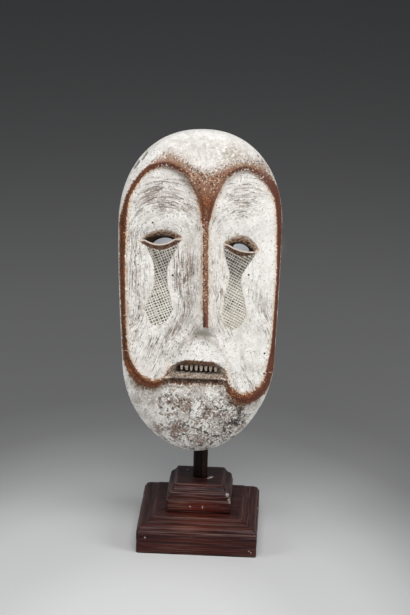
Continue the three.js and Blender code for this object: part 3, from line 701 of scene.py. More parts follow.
def gather(fixed, groups, ring):
    """Adds groups of (points, gap) to the fixed points, leaving out those too near what is there."""
    points = [tuple(p) for p in fixed]
    for group, gap in groups:
        group = group[inside_mm(ring, group[:, 0], group[:, 1]) > gap * 0.8]
        tree = lookup(points)
        points += [(x, z) for x, z in group if tree.find((x, z, 0))[2] > gap]
    tree = lookup(points)
    return np.array([p for i, p in enumerate(points) if i < len(fixed)
                     or min(j for _, j, _ in tree.find_range((p[0], p[1], 0), CROWDED)) == i])


def plan_mesh(rings, groups):
    """Triangles inside rings[0] and outside the other rings, which all stay edges of the mesh."""
    fixed = np.vstack(rings)
    points = gather(fixed, groups, rings[0])
    edges, start = [], 0
    for ring in rings:
        n = len(ring)
        edges += [(start + i, start + (i + 1) % n) for i in range(n)]
        start += n
    out, _, faces, source, _, _ = delaunay_2d_cdt([Vector(p) for p in points], edges, [], 0, 1e-6)
    where = {j: i for i, found in enumerate(source) for j in found}
    out = np.array([(p.x, p.y) for p in out])
    faces = np.array([f for f in faces if len(f) == 3])
    middle = out[faces].mean(axis=1)
    keep = inside_mm(rings[0], *middle.T) > 0
    for hole in rings[1:]:
        keep &= inside_mm(hole, *middle.T) < 0
    order = np.array([where[i] for i in range(len(fixed))])
    return out, faces[keep], order


square = np.array([(0, 0), (10, 0), (10, 10), (0, 10)], float)
print("a square of four points has", len(plan_mesh([square], [])[1]), "triangles")

# %% The front
FINE, MEDIUM, EVEN = 0.55, 0.8, 1.4
SLIT_POINTS = 48
front_groups = [(inset(OUTLINE, d), 0.25) for d in (0.4, 0.9, 1.6, 2.5, 3.6)]
for ring in LOBES:
    front_groups += [(inset(ring, d), 0.3) for d in (0, 0.38, -0.38, 0.75, -0.75, 1.2, -1.2, 2, -2, 3, -3)]
    wider = [inset(ring, -d) for d in (4.2, 5.6, 7, 8.2, 9, 9.8)]
    front_groups += [(points[points[:, 1] < 100], 0.5) for points in wider]
for eye, slit in zip(EYES, SLITS):
    front_groups += [(lens_ring(slit, s, 60), 0.3) for s in (1.06, 1.14)]
    front_groups += [(lens_ring(eye, s, 110), 0.35) for s in (1, 0.97, 1.03, 0.9, 0.8, 0.7, 0.6, 0.54)]
for patch in PATCHES:
    front_groups += [(patch_ring(patch, d), 0.35) for d in (0, 0.55, 1.1, 1.65, 2.2)]
a = np.linspace(0, 2 * np.pi, 14, endpoint=False)
circle = np.column_stack([np.cos(a), np.sin(a)])
for hole in INSECT_HOLES:
    front_groups += [(np.array(hole) + r * circle, 0.15) for r in (0.01, 0.4, 0.7, 1.0, 1.4)]
ridge = np.arange(126, 276, 1.2)
front_groups += [(np.column_stack([np.full(len(ridge), x), ridge]), 0.35)
                 for x in (0, 1.3, -1.3, 2.2, -2.2, 2.9, -2.9, 3.8, -3.8, 5, -5)]
for low, high, pitch, seed, gap in (((-40, 76), (27, 104), FINE * 1.3, 11, FINE),
                                    ((-15, 126), (15, 144), FINE * 1.3, 12, FINE),
                                    ((-90, 0), (90, HEIGHT), EVEN, 13, MEDIUM)):
    front_groups.append((field(low, high, pitch, seed), gap))

slit_rings = [lens_ring(slit, 1, SLIT_POINTS) for slit in SLITS]
front_plan, front_faces, front_order = plan_mesh([OUTLINE] + slit_rings, front_groups)
print("front:", len(front_plan), "points,", len(front_faces), "triangles")

# %% [markdown]
# ## The back, the rim and the eye slits
# Such a mask is hollowed from behind with an adze, whose curved blade leaves shallow scoops. The side
# wall leans in towards a flat rim, and two narrow slits pierce the lids. Only the front is whitened; the
# inside stays bare wood, so those faces take a second material. The solid could be cut with booleans, but
# rings of points joined one to the next give a clean closed mesh and keep every edge where it was drawn.

# %% The hollow and its tool marks
SIDE_TAPER, SIDE_CURVE, RIM_WIDTH = 4.5, 1.75, 8
INNER_DEPTH = [(0, 22), (40, 27), (80, 29), (100, 31), (224, 31), (270, 32.5), (300, 34), (328, 34)]
INNER_FALL, INNER_ROUND = 6, 26
SCOOP = {"across": 11, "along": 17, "deep": 0.9}


def adze_scoops(x, z):
    """Depth of the nearest of many overlapping scoops, in staggered rows."""
    u, v = x / SCOOP["across"], z / SCOOP["along"]
    best = np.full(x.shape, 9.0)
    for di in (-1, 0, 1):
        for dj in (-1, 0, 1):
            i, j = np.floor(u) + di, np.floor(v) + dj
            s, t = np.sin(i * 91.7 + j * 47.3) * 951.1, np.sin(i * 33.1 + j * 71.9) * 731.7
            du, dv = (w - k - 0.2 - 0.6 * (r - np.floor(r)) for w, k, r in ((u, i, s), (v, j, t)))
            best = np.minimum(best, du ** 2 + dv ** 2)
    return SCOOP["deep"] * (1 - np.clip(best, 0, 1))


def hollow_depth(x, z, in_rim):
    full = along(INNER_DEPTH, z) - INNER_FALL * (np.abs(x - axis_at(z)) / SIDE_REACH) ** 2
    return full * quarter(np.maximum(0, in_rim) / INNER_ROUND) + adze_scoops(x, z) * smooth(1, 12, in_rim)


rim_ring = inset(OUTLINE, SIDE_TAPER + RIM_WIDTH)
back_slits = [lens_ring(throat, BACK_FLARE, SLIT_POINTS) for throat in SLIT_THROATS]
back_groups = [(inset(rim_ring, d), 0.5) for d in (0.35, 0.9, 1.7, 2.8, 4.2, 6)]
back_groups += [(field((-80, 0), (80, HEIGHT), 1.9, 21), 1.1)]
back_plan, back_faces, back_order = plan_mesh([rim_ring] + back_slits, back_groups)
print("back:", len(back_plan), "points,", len(back_faces), "triangles")


# %% Close the body
SIDE_STEPS = (0.08, 0.18, 0.3, 0.42, 0.55, 0.68, 0.8, 0.9, 0.97)
RIM_STEPS = ((0.5, -0.15), (1.6, 0), (4, 0), (6.4, 0), (7.5, -0.1))
SIDE_SWELL, RIM_START = 0.25, 0.25


class Shell:
    """Collects points in the mask's frame and the faces between them."""

    def __init__(self):
        self.points, self.faces, self.count = [], [], 0

    def add(self, plan, depth):
        """Adds the points of a plan at a depth and returns their numbers."""
        self.points.append(np.column_stack([plan[:, 0], np.broadcast_to(depth, len(plan)), plan[:, 1]]))
        self.count += len(plan)
        return np.arange(self.count - len(plan), self.count)

    def join(self, a, b):
        """Sews ring a to ring b and returns b."""
        self.faces += [(a[i], b[i], b[(i + 1) % len(a)], a[(i + 1) % len(a)]) for i in range(len(a))]
        return b


def make_object(name, points, faces, materials=()):
    """A closed mesh object at the origin, in metres, with its faces turned outward."""
    mesh = bpy.data.meshes.new(name)
    mesh.from_pydata([tuple(p) for p in points], [], [tuple(int(i) for i in f) for f in faces])
    bm = bmesh.new()
    bm.from_mesh(mesh)
    bmesh.ops.recalc_face_normals(bm, faces=bm.faces)
    bm.to_mesh(mesh)
    bm.free()
    mesh.polygons.foreach_set("use_smooth", [True] * len(mesh.polygons))
    for material in materials:
        mesh.materials.append(material)
    return show(name, mesh)


def into_lobes(x, z):
    """Distance inside the nearer of the two lobes."""
    return np.maximum(*(inside_mm(ring, x, z) for ring in LOBES))


fx, fz = front_plan.T
front_depth = face_depth(fx, fz, inside_mm(OUTLINE, fx, fz), into_lobes(fx, fz))
edge_depth = along(EDGE_DEPTH, OUTLINE[:, 1])
front_depth[front_order[:len(OUTLINE)]] = edge_depth

shell = Shell()
front_ids = shell.add(front_plan, front_depth)
last_ring = front_ids[front_order[:len(OUTLINE)]]
wobble = value_noise(OUTLINE[:, 0], OUTLINE[:, 1], 9, 5) * 0.25
for t in SIDE_STEPS:
    lean = SIDE_TAPER * t ** SIDE_CURVE + SIDE_SWELL * math.sin(math.pi * t) * (1 + wobble)
    last_ring = shell.join(last_ring, shell.add(inset(OUTLINE, lean), edge_depth * (1 - t)))
for step, drop in RIM_STEPS:
    last_ring = shell.join(last_ring, shell.add(inset(OUTLINE, SIDE_TAPER + step), -drop))
back_depth = hollow_depth(*back_plan.T, inside_mm(rim_ring, *back_plan.T))
back_depth[back_order[:len(rim_ring)]] = RIM_START
back_ids = shell.add(back_plan, back_depth)
shell.join(last_ring, back_ids[back_order[:len(rim_ring)]])
for k, throat in enumerate(SLIT_THROATS):
    start = len(OUTLINE) + k * SLIT_POINTS
    front_slit, back_slit = (ids[order[start:start + SLIT_POINTS]]
                             for ids, order in ((front_ids, front_order), (back_ids, back_order)))
    narrow = shell.join(front_slit, shell.add(lens_ring(throat, 1, SLIT_POINTS), THROAT_DEPTH))
    shell.join(narrow, back_slit)
for ids, faces in ((front_ids, front_faces), (back_ids, back_faces)):
    shell.faces += [tuple(ids[f]) for f in faces]
mask_points = np.vstack(shell.points)


def to_world(points):
    """Points (x, depth, z) in the mask's frame, in millimetres, to the scene's metres."""
    turn = np.array(MASK_PLACE.to_3x3())
    return (points * np.array([1, -1, 1]) * MM) @ turn.T + np.array(MASK_PLACE.translation)


mask = make_object("mask_carving", to_world(mask_points), shell.faces)
print("mask:", len(mask_points), "points,", sum(len(f) - 2 for f in shell.faces), "triangles")

# %% [markdown]
# ## Where the paint lies
# The clay was rubbed off and the bare bands were left by hand, so their edges follow the carving but are
# never exact. Each vertex keeps signed distances to those edges, in millimetres, positive inside. The
# materials turn them into colour, and add noise near an edge to make it ragged.

# %% Borders of the paint, and spots of wear
PAINT_LEFT = [(1, 139), (1, 289), (-4, 290), (-10, 291.6), (-18, 296.5), (-25, 302), (-32, 306),
              (-38, 307), (-46, 304.5), (-54, 298.7), (-62.9, 290), (-71.2, 279.2), (-77.4, 266),
              (-81.4, 250), (-86.5, 233), (-88, 200), (-88, 120), (-78, 100), (-72, 84), (-64, 75),
              (-53, 71.5), (-44, 73.5), (-38, 79), (-34, 88), (-36, 101), (-42, 115), (-30, 150),
              (-8, 150), (-3.5, 139)]
PAINT_RIGHT = [(-1, 139), (-1, 289), (2, 288.6), (10, 291), (17.4, 293.8), (27, 297), (36.3, 298.8),
               (47.6, 297), (59, 292.4), (69, 281.5), (75, 269), (79.5, 252), (86, 235), (84, 110),
               (74, 92), (69, 75), (63, 64), (54, 56.5), (44, 53.8), (34, 56.5), (27, 63.5), (22.5, 74),
               (20.6, 82), (22.6, 89), (25, 95), (30, 110), (30, 140), (8, 150), (3.5, 139)]
# Soft oval spots of wear, and of painted light and shade: x, z, half width, half height and strength.
RUBBED = [(-42, 262, 26, 24, 0.9), (-66, 195, 10, 45, 0.8), (-38, 120, 22, 22, 0.7),
          (42, 258, 20, 24, 0.45), (58, 165, 12, 50, 0.35), (48, 95, 10, 18, 0.5), (17, 170, 7, 35, 0.2),
          (10, 310, 50, 14, 0.4), (55, 298, 20, 10, 0.5), (-20, 178, 10, 36, 1), (-50, 266, 16, 14, 0.4)]
STAINED = [(-19.5, 171, 8, 30, 0.9), (-16, 215, 5, 20, 0.5), (-13.3, 245.4, 1.2, 1.6, 0.9),
           (24.2, 241.2, 1, 1.2, 0.9), (13, 165, 5, 26, 0.35), (-60, 262, 6, 7, 0.45), (0, 14, 6, 7, 0.6),
           (8, 4, 5, 3, 0.6), (-25, 57, 15, 9, 1), (-21, 27, 12, 8, 0.9), (8, 44, 9, 8, 0.6),
           (30, 258, 10, 7, 0.75), (48, 268, 8, 10, 0.4), (-46, 272, 14, 8, 0.5), (38.8, 107, 4.5, 10, 1),
           (10.7, 176, 3.5, 15, 0.7), (-69, 190, 5, 7, 0.7), (-31, 249.5, 4.5, 2.8, 1),
           (-12.6, 196, 3, 9, 0.6), (-30, 128, 16, 10, 0.45)]
# Clean spots of clay; the last two, at the crown's left rim, are painted light where the rim catches the
# lamps.
CLEAN_AND_LIT = [(-4, 103, 24, 12, 1), (-42, 243, 22, 8, 0.8), (38, 236, 20, 7, 0.8), (52, 200, 14, 60, 0.35),
         (66, 222, 9, 46, 0.9), (45, 110, 18, 26, 0.3), (-50, 303, 20, 12, 0.9), (-70, 284, 9, 18, 0.9)]
CLEAN_RIM = [(-60, 48, 13, 28, 1), (-52, 30, 7, 9, 0.8), (64, 40, 5, 18, 0.9), (44, 18, 6, 7, 0.8),
             (-8, 68, 26, 6, 0.15), (58, 50, 10, 16, 0.9)]
# Smudges of dirt; the spots beside the nose at (-16, 215) and (-14, 178) and under its tip at (-2, 131) are
# painted shade.
SMUDGES_AND_SHADE = [(31, 32, 12, 10, 0.7), (18, 20, 16, 8, 0.6), (-2, 131, 16, 6, 0.42), (-47, 150, 26, 12, 0.15),
           (38, 43, 8, 10, 0.65), (-28, 61, 16, 7, 0.4), (24, 308, 20, 9, 0.45), (-45, 260, 22, 14, 0.18),
           (-16, 215, 7, 26, 0.25), (-14, 178, 8, 26, 0.25), (22, 205, 6, 14, 0.3), (12, 44, 14, 10, 0.3),
           (40, 56, 12, 5, 0.6), (-60, 60, 8, 12, 0.4), (58, 296, 12, 8, 0.5), (30, 306, 18, 8, 0.35)]
print("spots of wear:", sum(map(len, (RUBBED, STAINED, CLEAN_AND_LIT, CLEAN_RIM, SMUDGES_AND_SHADE))))

# %% Distances and wear at each point
STRIP_HALF, MOUTH_TALL = 2.75, 23


def spots(table, x, z):
    """Sum of soft oval spots, at most 1."""
    total = np.zeros_like(x)
    for cx, cz, across, tall, strength in table:
        total += strength * np.exp(-((x - cx) / across) ** 2 - ((z - cz) / tall) ** 2)
    return np.clip(total, 0, 1)


px, _, pz = mask_points.T
rim_mm, in_lobe = inside_mm(OUTLINE, px, pz), into_lobes(px, pz)
share, mouth_in = mouth_share(px, pz), mouth_inside(px, pz)
overlap = (0.3 - 0.8 * smooth(150, 190, pz) * (px > 20) + 1.2 * (1 - smooth(72, 96, pz))
           + 2.6 * (1 - smooth(64, 84, pz)) * (px > 0))
bands = [np.minimum.reduce([inside_mm(np.array(border, float), px, pz), overlap - in_lobe, rim_mm - 0.5])
         for border in (PAINT_LEFT, PAINT_RIGHT)]
beside = np.minimum(mouth_in + 3 + 4 * smooth(0.6, 1, share), mouth_in * 0.8 + share * MOUTH_TALL - 4)
bands.append(np.minimum.reduce([0.3 - in_lobe, (share + 0.05) * MOUTH_TALL, (1.06 - share) * MOUTH_TALL,
                                beside]))
bare = np.maximum.reduce(bands)
strip = STRIP_HALF - np.abs(px) + 40 * smooth(236, 296, pz)
bare = np.where((np.abs(px) < 18) & (pz > 132), np.minimum(bare, strip), bare)
print("bare wood at", int((bare > 0).sum()), "of", len(px), "points")

# %% [markdown]
# Streaks were rubbed along the carving: up the cheeks, round over the eyes and down beside the nose. Two
# more coordinates follow that way, one along the flow and one across it, so noise can be stretched on it.

# %% The way the streaks flow
EYE_LINE, BEND = 225, 40
side = np.where(px < 0, -1, 1)
inward, above = 38 - side * px, np.maximum(0, pz - EYE_LINE)
flow_v = np.hypot(inward + 0.4 * np.maximum(0, 150 - pz), above)
flow_u = np.where(pz > EYE_LINE, EYE_LINE + np.arctan2(above, inward) * BEND,
                  np.where(inward > 0, pz, 2 * EYE_LINE - pz + math.pi * BEND))
print("streaks run from", round(float(flow_u.min())), "to", round(float(flow_u.max())), "mm")


# %% What each point keeps
def above_line(place, x, z):
    """Height above the line through an eye's two corners."""
    return z - place["z"] - math.tan(math.radians(place["turn"])) * (x - place["x"])


eye_reach = np.minimum(*(lens_reach(e, px, pz) for e in EYES))
sunk = np.maximum(*(patch_mm(p, px, pz) for p in PATCHES))
sunk = np.where(sunk == -1, -9, sunk)
marks = {
    "bare_mm": bare,
    "bare_fuzz": (0.8 + 3.2 * (1 - smooth(64, 100, pz))
                  + 4.5 * smooth(268, 292, pz) * smooth(-1, 4, -in_lobe) * smooth(-58, -42, px)),
    "patch_mm": np.minimum(sunk, (eye_reach - 1.02) * 10),
    "lid": 1 - eye_reach,
    "slit": np.maximum(*(inside_mm(ring, px, pz) for ring in slit_rings)),
    "above_slit": np.where(px < 0, above_line(SLITS[0], px, pz), above_line(SLITS[1], px, pz)),
    "mouth_share": share,
    "muzzle": np.where(pz > 88, 1 - lens_reach(MUZZLE_ARCH, px, pz), -9),
    "mouth_inside": mouth_in,
    "crown": smooth(276, 300, pz) * smooth(0, 4, -in_lobe),
    "smudged": spots(SMUDGES_AND_SHADE, px, pz),
    "clean": spots(CLEAN_AND_LIT, px, pz),
    "in_lobe": in_lobe,
    "rim_mm": rim_mm,
    "rubbed": spots(RUBBED, px, pz),
    "stained": spots(STAINED, px, pz),
    "chin": (1 - smooth(74, 84, pz)) * (1 - 0.2 * smooth(52, 74, pz)) * (1 - smooth(0, 3, in_lobe))
            * (1 - 0.75 * spots(CLEAN_RIM, px, pz)),
}


def keep(piece, name, values, kind="FLOAT"):
    layer = piece.data.attributes.new(name, kind, "POINT")
    layer.data.foreach_set("value" if kind == "FLOAT" else "vector", np.asarray(values, np.float32).ravel())


for name, values in marks.items():
    keep(mask, name, values)
keep(mask, "plan", mask_points, "FLOAT_VECTOR")
keep(mask, "flow", np.column_stack([flow_u, flow_v, side * 50.0]), "FLOAT_VECTOR")
print("kept at each point:", ", ".join(marks))

# %% [markdown]
# ## The stand
# A dark round post stands in a plinth of two moulded tiers. The tiers were cut on a spindle moulder from
# one hardwood: a quarter round, a small fillet and a cove run round four sides. Handling rounded their
# corners and knocked chips from the edges, so each tier is built from rounded squares stacked up its
# profile, with small bites taken out of the edges.

# %% The plinth's sizes and chips
# The last entry of a tier is the strength of a painted highlight at the middle of its front: on the face,
# then on the moulding.
LOWER = {"width": 122, "face": 24, "rise": 10.4, "inset": 16.6, "base": 0, "ruddy": (0.1, 0.5)}
UPPER = {"width": 66.2, "face": 13, "rise": 14.6, "inset": 8.7, "base": 34.7, "ruddy": (0.7, 0.2)}
CORNER_RADIUS, EASED_EDGE = 2.2, 0.7
# Chips: x, y, z, size and depth.
CHIPS = [(-8.3, -33.1, 41.1, 0.8, 0.3), (4.4, -33.1, 40.2, 0.7, 0.3), (4.6, -33.1, 41.9, 0.5, 0.2),
         (28.9, -29, 53.6, 2.0, 0.9), (31.2, -30.5, 49.6, 1.8, 0.8), (31.4, -31.5, 46.5, 1.2, 0.6),
         (58.9, -60.5, 25.4, 1.3, 0.6), (-51.7, -61, 17.3, 0.8, 0.3), (53.5, -61, 6.9, 0.7, 0.3),
         (55.5, -61, 5.4, 0.6, 0.2), (-60.8, -60.8, 24, 1.0, 0.6), (61, 10, 23.5, 1.6, 0.7),
         (-61, 30, 23.5, 1.4, 0.7), (20, 61, 24, 1.6, 0.8), (-10, 33, 47, 1.2, 0.6),
         (10.3, -4.9, 62, 1.9, 0), (12.6, -2.5, 62, 1.2, 0), (8.6, -8, 62, 1.1, 0), (-14, 14, 62, 1.0, 0)]
print("plinth", LOWER["width"], "mm wide with", len(CHIPS), "chips")


# %% Profile and rings of a tier
def tier_profile(tier, steps=14):
    """Half width and height up one tier: face, quarter round, fillet and cove."""
    half, face = tier["width"] / 2, tier["face"]
    rows = [(half - 6, 0), (half - 2, 0)]
    rows += [(half - EASED_EDGE * (1 - math.sin(a)), EASED_EDGE * (1 - math.cos(a)))
             for a in np.linspace(0, math.pi / 2, 5)]
    rows += [(half, h) for h in np.linspace(EASED_EDGE, face - EASED_EDGE, 9)[1:]]
    shares = [(0.02, -0.015), (0.04, 0), (0.09, 0), (0.09, 0.04), (0.09, 0.08)]
    for t in np.linspace(0, 1, steps)[1:]:
        a = math.pi / 2 * t
        shares.append((mix(0.09, 0.52, 1 - math.cos(a)), mix(0.08, 0.56, math.sin(a))))
    shares += [(0.56, 0.562), (0.6, 0.57), (0.6, 0.6), (0.6, 0.64)]
    for t in np.linspace(0, 1, steps)[1:]:
        shares.append((mix(0.6, 0.93, math.sin(math.pi / 2 * t) * 0.4 + 0.6 * t), mix(0.64, 0.96, t)))
    shares += [(0.95, 0.985), (1, 1)]
    rows += [(half - run * tier["inset"], face + rise * tier["rise"]) for run, rise in shares]
    top_half = half - tier["inset"]
    return rows + [(top_half - 2.5, rows[-1][1]), (top_half - 5, rows[-1][1])]


def rounded_square(half, corner, per_side=44, per_corner=7):
    """Points round a square with rounded corners."""
    corner = min(corner, half * 0.5)
    quarter_points = [(half, y) for y in np.linspace(-half + corner, half - corner, per_side)[:-1]]
    quarter_points += [(half - corner + corner * math.cos(a), half - corner + corner * math.sin(a))
                       for a in np.linspace(0, math.pi / 2, per_corner)[:-1]]
    ring = []
    for k in range(4):
        c, s = round(math.cos(k * math.pi / 2)), round(math.sin(k * math.pi / 2))
        ring += [(c * x - s * y, s * x + c * y) for x, y in quarter_points]
    return ring


def stacked(rings):
    """A closed body from rings of equal length, one above another."""
    n = len(rings[0])
    points = [p for ring in rings for p in ring]
    faces = [(k * n + i, k * n + (i + 1) % n, (k + 1) * n + (i + 1) % n, (k + 1) * n + i)
             for k in range(len(rings) - 1) for i in range(n)]
    faces += [tuple(range(n))[::-1], tuple(range((len(rings) - 1) * n, len(rings) * n))]
    return points, faces


print("lower tier's profile:", len(tier_profile(LOWER)), "rows")


# %% A tier and the post
def moulded_tier(name, tier, material):
    """A tier with its chips, and the run of the moulding kept at each point for the grain."""
    rings, run, arris, ruddy, flat = [], [], [], [], []
    profile = tier_profile(tier)
    climb = 0.0
    for k, (half, height) in enumerate(profile):
        climb += math.dist(profile[k], profile[k - 1]) if k else 0
        turn = 0.0
        if 0 < k < len(profile) - 1:
            (a, b), (c, d) = np.diff(profile[k - 1:k + 2], axis=0)
            turn = math.atan2(a * d - b * c, a * c + b * d)
        z = tier["base"] + height
        corner = CORNER_RADIUS + 0.6 * math.sin(height * 0.7)
        square = rounded_square(half, corner)
        ring = []
        for i, (x, y) in enumerate(square):
            bite = sum(deep * math.exp(-((x - cx) ** 2 + (y - cy) ** 2 + (z - cz) ** 2) / (size * size))
                       for cx, cy, cz, size, deep in CHIPS)
            uneven = 0.12 + 0.1 * math.sin(x * 0.21 + z * 0.5) * math.cos(y * 0.17)
            shrink = 1 - (bite + uneven) / half
            ring.append((x * shrink * MM, y * shrink * MM, z * MM))
            face = 4 * i // len(square)
            run.append(((y, x, -y, -x)[face], climb, face * 40.0))
            arris.append(min(1.0, abs(turn) * 2))
            # The painted highlight lies at the middle of the front.
            ruddy.append(math.exp(-(x / 24) ** 2) * (y < -half * 0.9) * tier["ruddy"][height > tier["face"]])
            flat.append(1.0 if k >= len(profile) - 2 else 0.0)
        rings.append(ring)
    piece = make_object(name, *stacked(rings), [material])
    keep(piece, "run", run, "FLOAT_VECTOR")
    for name, values in (("arris", arris), ("ruddy", ruddy), ("flat_top", flat)):
        keep(piece, name, values)
    return piece


def round_post(name, post, material, sides=72):
    """The post, with faint flutes left by a hand plane."""
    tall, chamfer = post["high"] - post["low"], post["chamfer"]
    heights = [0, 0.2, *np.arange(2, tall - chamfer, 2.4), tall - chamfer, tall - chamfer * 0.3, tall]
    trims = [chamfer * 0.4, 0] + [0] * (len(heights) - 5) + [0, chamfer * 0.6, chamfer]
    rings = []
    for h, trim in zip(heights, trims):
        ring = []
        for k in range(sides):
            a = 2 * math.pi * k / sides
            r = post["radius"] - trim - 0.06 * (1 + math.cos(9 * a)) - 0.05 * (1 + math.sin(h * 0.03 + a))
            ring.append((r * math.cos(a) * MM, r * math.sin(a) * MM, (post["low"] + h) * MM))
        rings.append(ring)
    return make_object(name, *stacked(rings), [material])


print("a rounded square has", len(rounded_square(LOWER["width"] / 2, CORNER_RADIUS)), "points")

# %% [markdown]
# ## Finishes
# Each finish is a procedural material. An image could be painted instead, but noise and the values kept
# at the points stay sharp at any distance and can be changed in words. Effects that several finishes use
# are node groups: a ragged paint edge, worn streaks, fine flecks, scratches and long wood grain.


# %% Recipes of the shared effects
def ragged_recipe(net, put):
    """Turns a signed distance into a mask with a ragged border."""
    wander = net.noise(put["Place"], 0.55, 4, 0.65) * 5.5 + net.noise(put["Place"], 0.25, 2) * 1.4 - 3.45
    moved = wander * put["Fuzz"] + put["Distance"]
    return [moved.window(put["Fuzz"] * -0.28, put["Fuzz"] * 0.28 + 0.1)]


def streak_recipe(net, put):
    """Broken streaks that run along the first coordinate of Flow."""
    u, v, shift = net.split(put["Flow"])
    fine = net.noise(net.join(u / put["Length"], v / put["Width"], shift), 1.0, 3, 0.6, 0.6)
    wide = net.noise(net.join(u / 30, v / 14, shift), 1.0, 2)
    low = 0.68 - put["Amount"] * 0.26
    return [(fine + wide * 0.35 - 0.175).window(low, low + 0.035)]


def fleck_recipe(net, put):
    """Small irregular flecks; Amount sets how many."""
    low = 0.78 - put["Amount"] * 0.24
    return [net.noise(put["Place"], 1 / put["Size"], 2, 0.5).window(low, low + 0.035)]


def scratch_recipe(net, put):
    """One thin line from Start, along Way, in the plan of the mask."""
    dx, _, dz = net.split(put["Place"] - put["Start"])
    wx, _, wz = net.split(put["Way"])
    span = net.length(net.join(wx, 0, wz))
    ahead = (dx * wx + dz * wz) / span
    aside = (dx * wz - dz * wx) / span + net.noise(put["Place"], 0.4, 2) * 1.2 - 0.6
    return [abs(aside).window(put["Width"], 0.0) * ahead.window(0.0, 0.8) * ahead.window(span, span - 0.8)]


def grain_recipe(net, put):
    """Long wood grain along the first coordinate: broad figure, fine pores and soft lights."""
    x, y, z = net.split(put["Place"])
    long_place = net.join(x / put["Stretch"], y, z)
    pores = net.noise(net.join(x / (put["Stretch"] * 2), y, z), 1.6, 3, 0.6).window(0.56, 0.66)
    return [net.noise(long_place, 0.12, 3, 0.5, 0.5), pores, net.noise(long_place, 0.45, 2, 0.5)]


# %% Shared effects
ORIGIN = (0.0, 0.0, 0.0)
ragged = shader_group("ragged_edge", ragged_recipe, ["Mask"], Place=ORIGIN, Distance=0.0, Fuzz=0.5)
streaks = shader_group("worn_streaks", streak_recipe, ["Mask"],
                       Flow=ORIGIN, Length=8.0, Width=1.1, Amount=0.5)
flecks = shader_group("flecks", fleck_recipe, ["Mask"], Place=ORIGIN, Size=1.0, Amount=0.5)
scratch = shader_group("scratch_line", scratch_recipe, ["Mask"],
                       Place=ORIGIN, Start=ORIGIN, Way=(1.0, 0.0, 0.0), Width=0.4)
grain = shader_group("long_grain", grain_recipe, ["Figure", "Pores", "Sheen"], Place=ORIGIN, Stretch=8.0)
print("shared effects:", ", ".join(t.name for t in (ragged, streaks, flecks, scratch, grain)))

# %% [markdown]
# ### The white clay
# On the real mask a thin coat of clay was rubbed over the whole front and has worn for years. It could be
# one colour with some dirt on top; here it is laid in the order of making instead, so each kind of wear
# can be turned up or down: soft mottling, streaks along the carving, stains, and specks. Painted light and
# shade are laid in too: a lighter rim, and shade outside the muzzle's arch and beside and under the nose.

# %% The clay and its wear
CLAY = palette(white=(242, 240, 234), soft_white=(216, 212, 205), chalk=(250, 248, 243),
               rose=(210, 193, 187), cool=(178, 177, 172), grey_streak=(162, 149, 138),
               deep_streak=(121, 104, 92), dark_streak=(100, 88, 80), brown_streak=(140, 106, 84),
               under_arch=(176, 165, 156), dust=(168, 160, 152), smear=(146, 134, 116),
               chin_grey=(176, 168, 161), chin_brown=(134, 112, 98), chin_mud=(84, 74, 68),
               chin_dark=(56, 51, 48), speck=(80, 73, 69))


def read_marks(net):
    """What the finishes of the mask ask for at a place: the kept marks, the plan and two noises."""
    at = SimpleNamespace(**{name: net.mark(name) for name in marks})
    at.plan, at.flow = net.mark("plan", "Vector"), net.mark("flow", "Vector")
    at.east, at.depth, at.up = net.split(at.plan)
    at.fine, at.rough = net.noise(at.plan, 0.62, 3, 0.65, 0.5), net.noise(at.plan, 0.45, 4, 0.7)
    return at


def mottled_clay(net, at):
    """Clay with soft mottling and streaks. Returns its colour and where it is streaked."""
    quiet = 1 - net.most(at.crown, at.chin, at.clean * 0.8)
    cool = net.noise(at.plan, 0.22, 4, 0.7, 0.4).window(0.54, 0.64) * (at.rubbed * 0.4 + 0.25)
    tone = net.coats(CLAY.white, (net.noise(at.plan, 0.09, 4, 0.6).window(0.38, 0.68), CLAY.soft_white),
                     (net.noise(at.plan, 0.5, 4, 0.7).window(0.51, 0.57) * 0.5, CLAY.rose), (cool, CLAY.cool))
    found = []
    for length, width, amount, strength, colour in (
            (22, 1.6, at.rubbed * 0.35 + 0.32, 0.55, CLAY.grey_streak),
            (18, 2.0, at.rubbed * 0.62 + 0.08, 0.62, CLAY.deep_streak),
            (9, 1.5, at.rubbed * 0.3 + 0.22, 0.8, CLAY.dark_streak),
            (11, 2.2, at.stained * 0.85 - 0.2, 0.7, CLAY.brown_streak)):
        found.append(effect(net, streaks, Flow=at.flow, Length=length, Width=width, Amount=amount))
        tone = net.colour(found[-1] * strength * quiet, tone, colour)
    return tone, net.most(*found[:2])


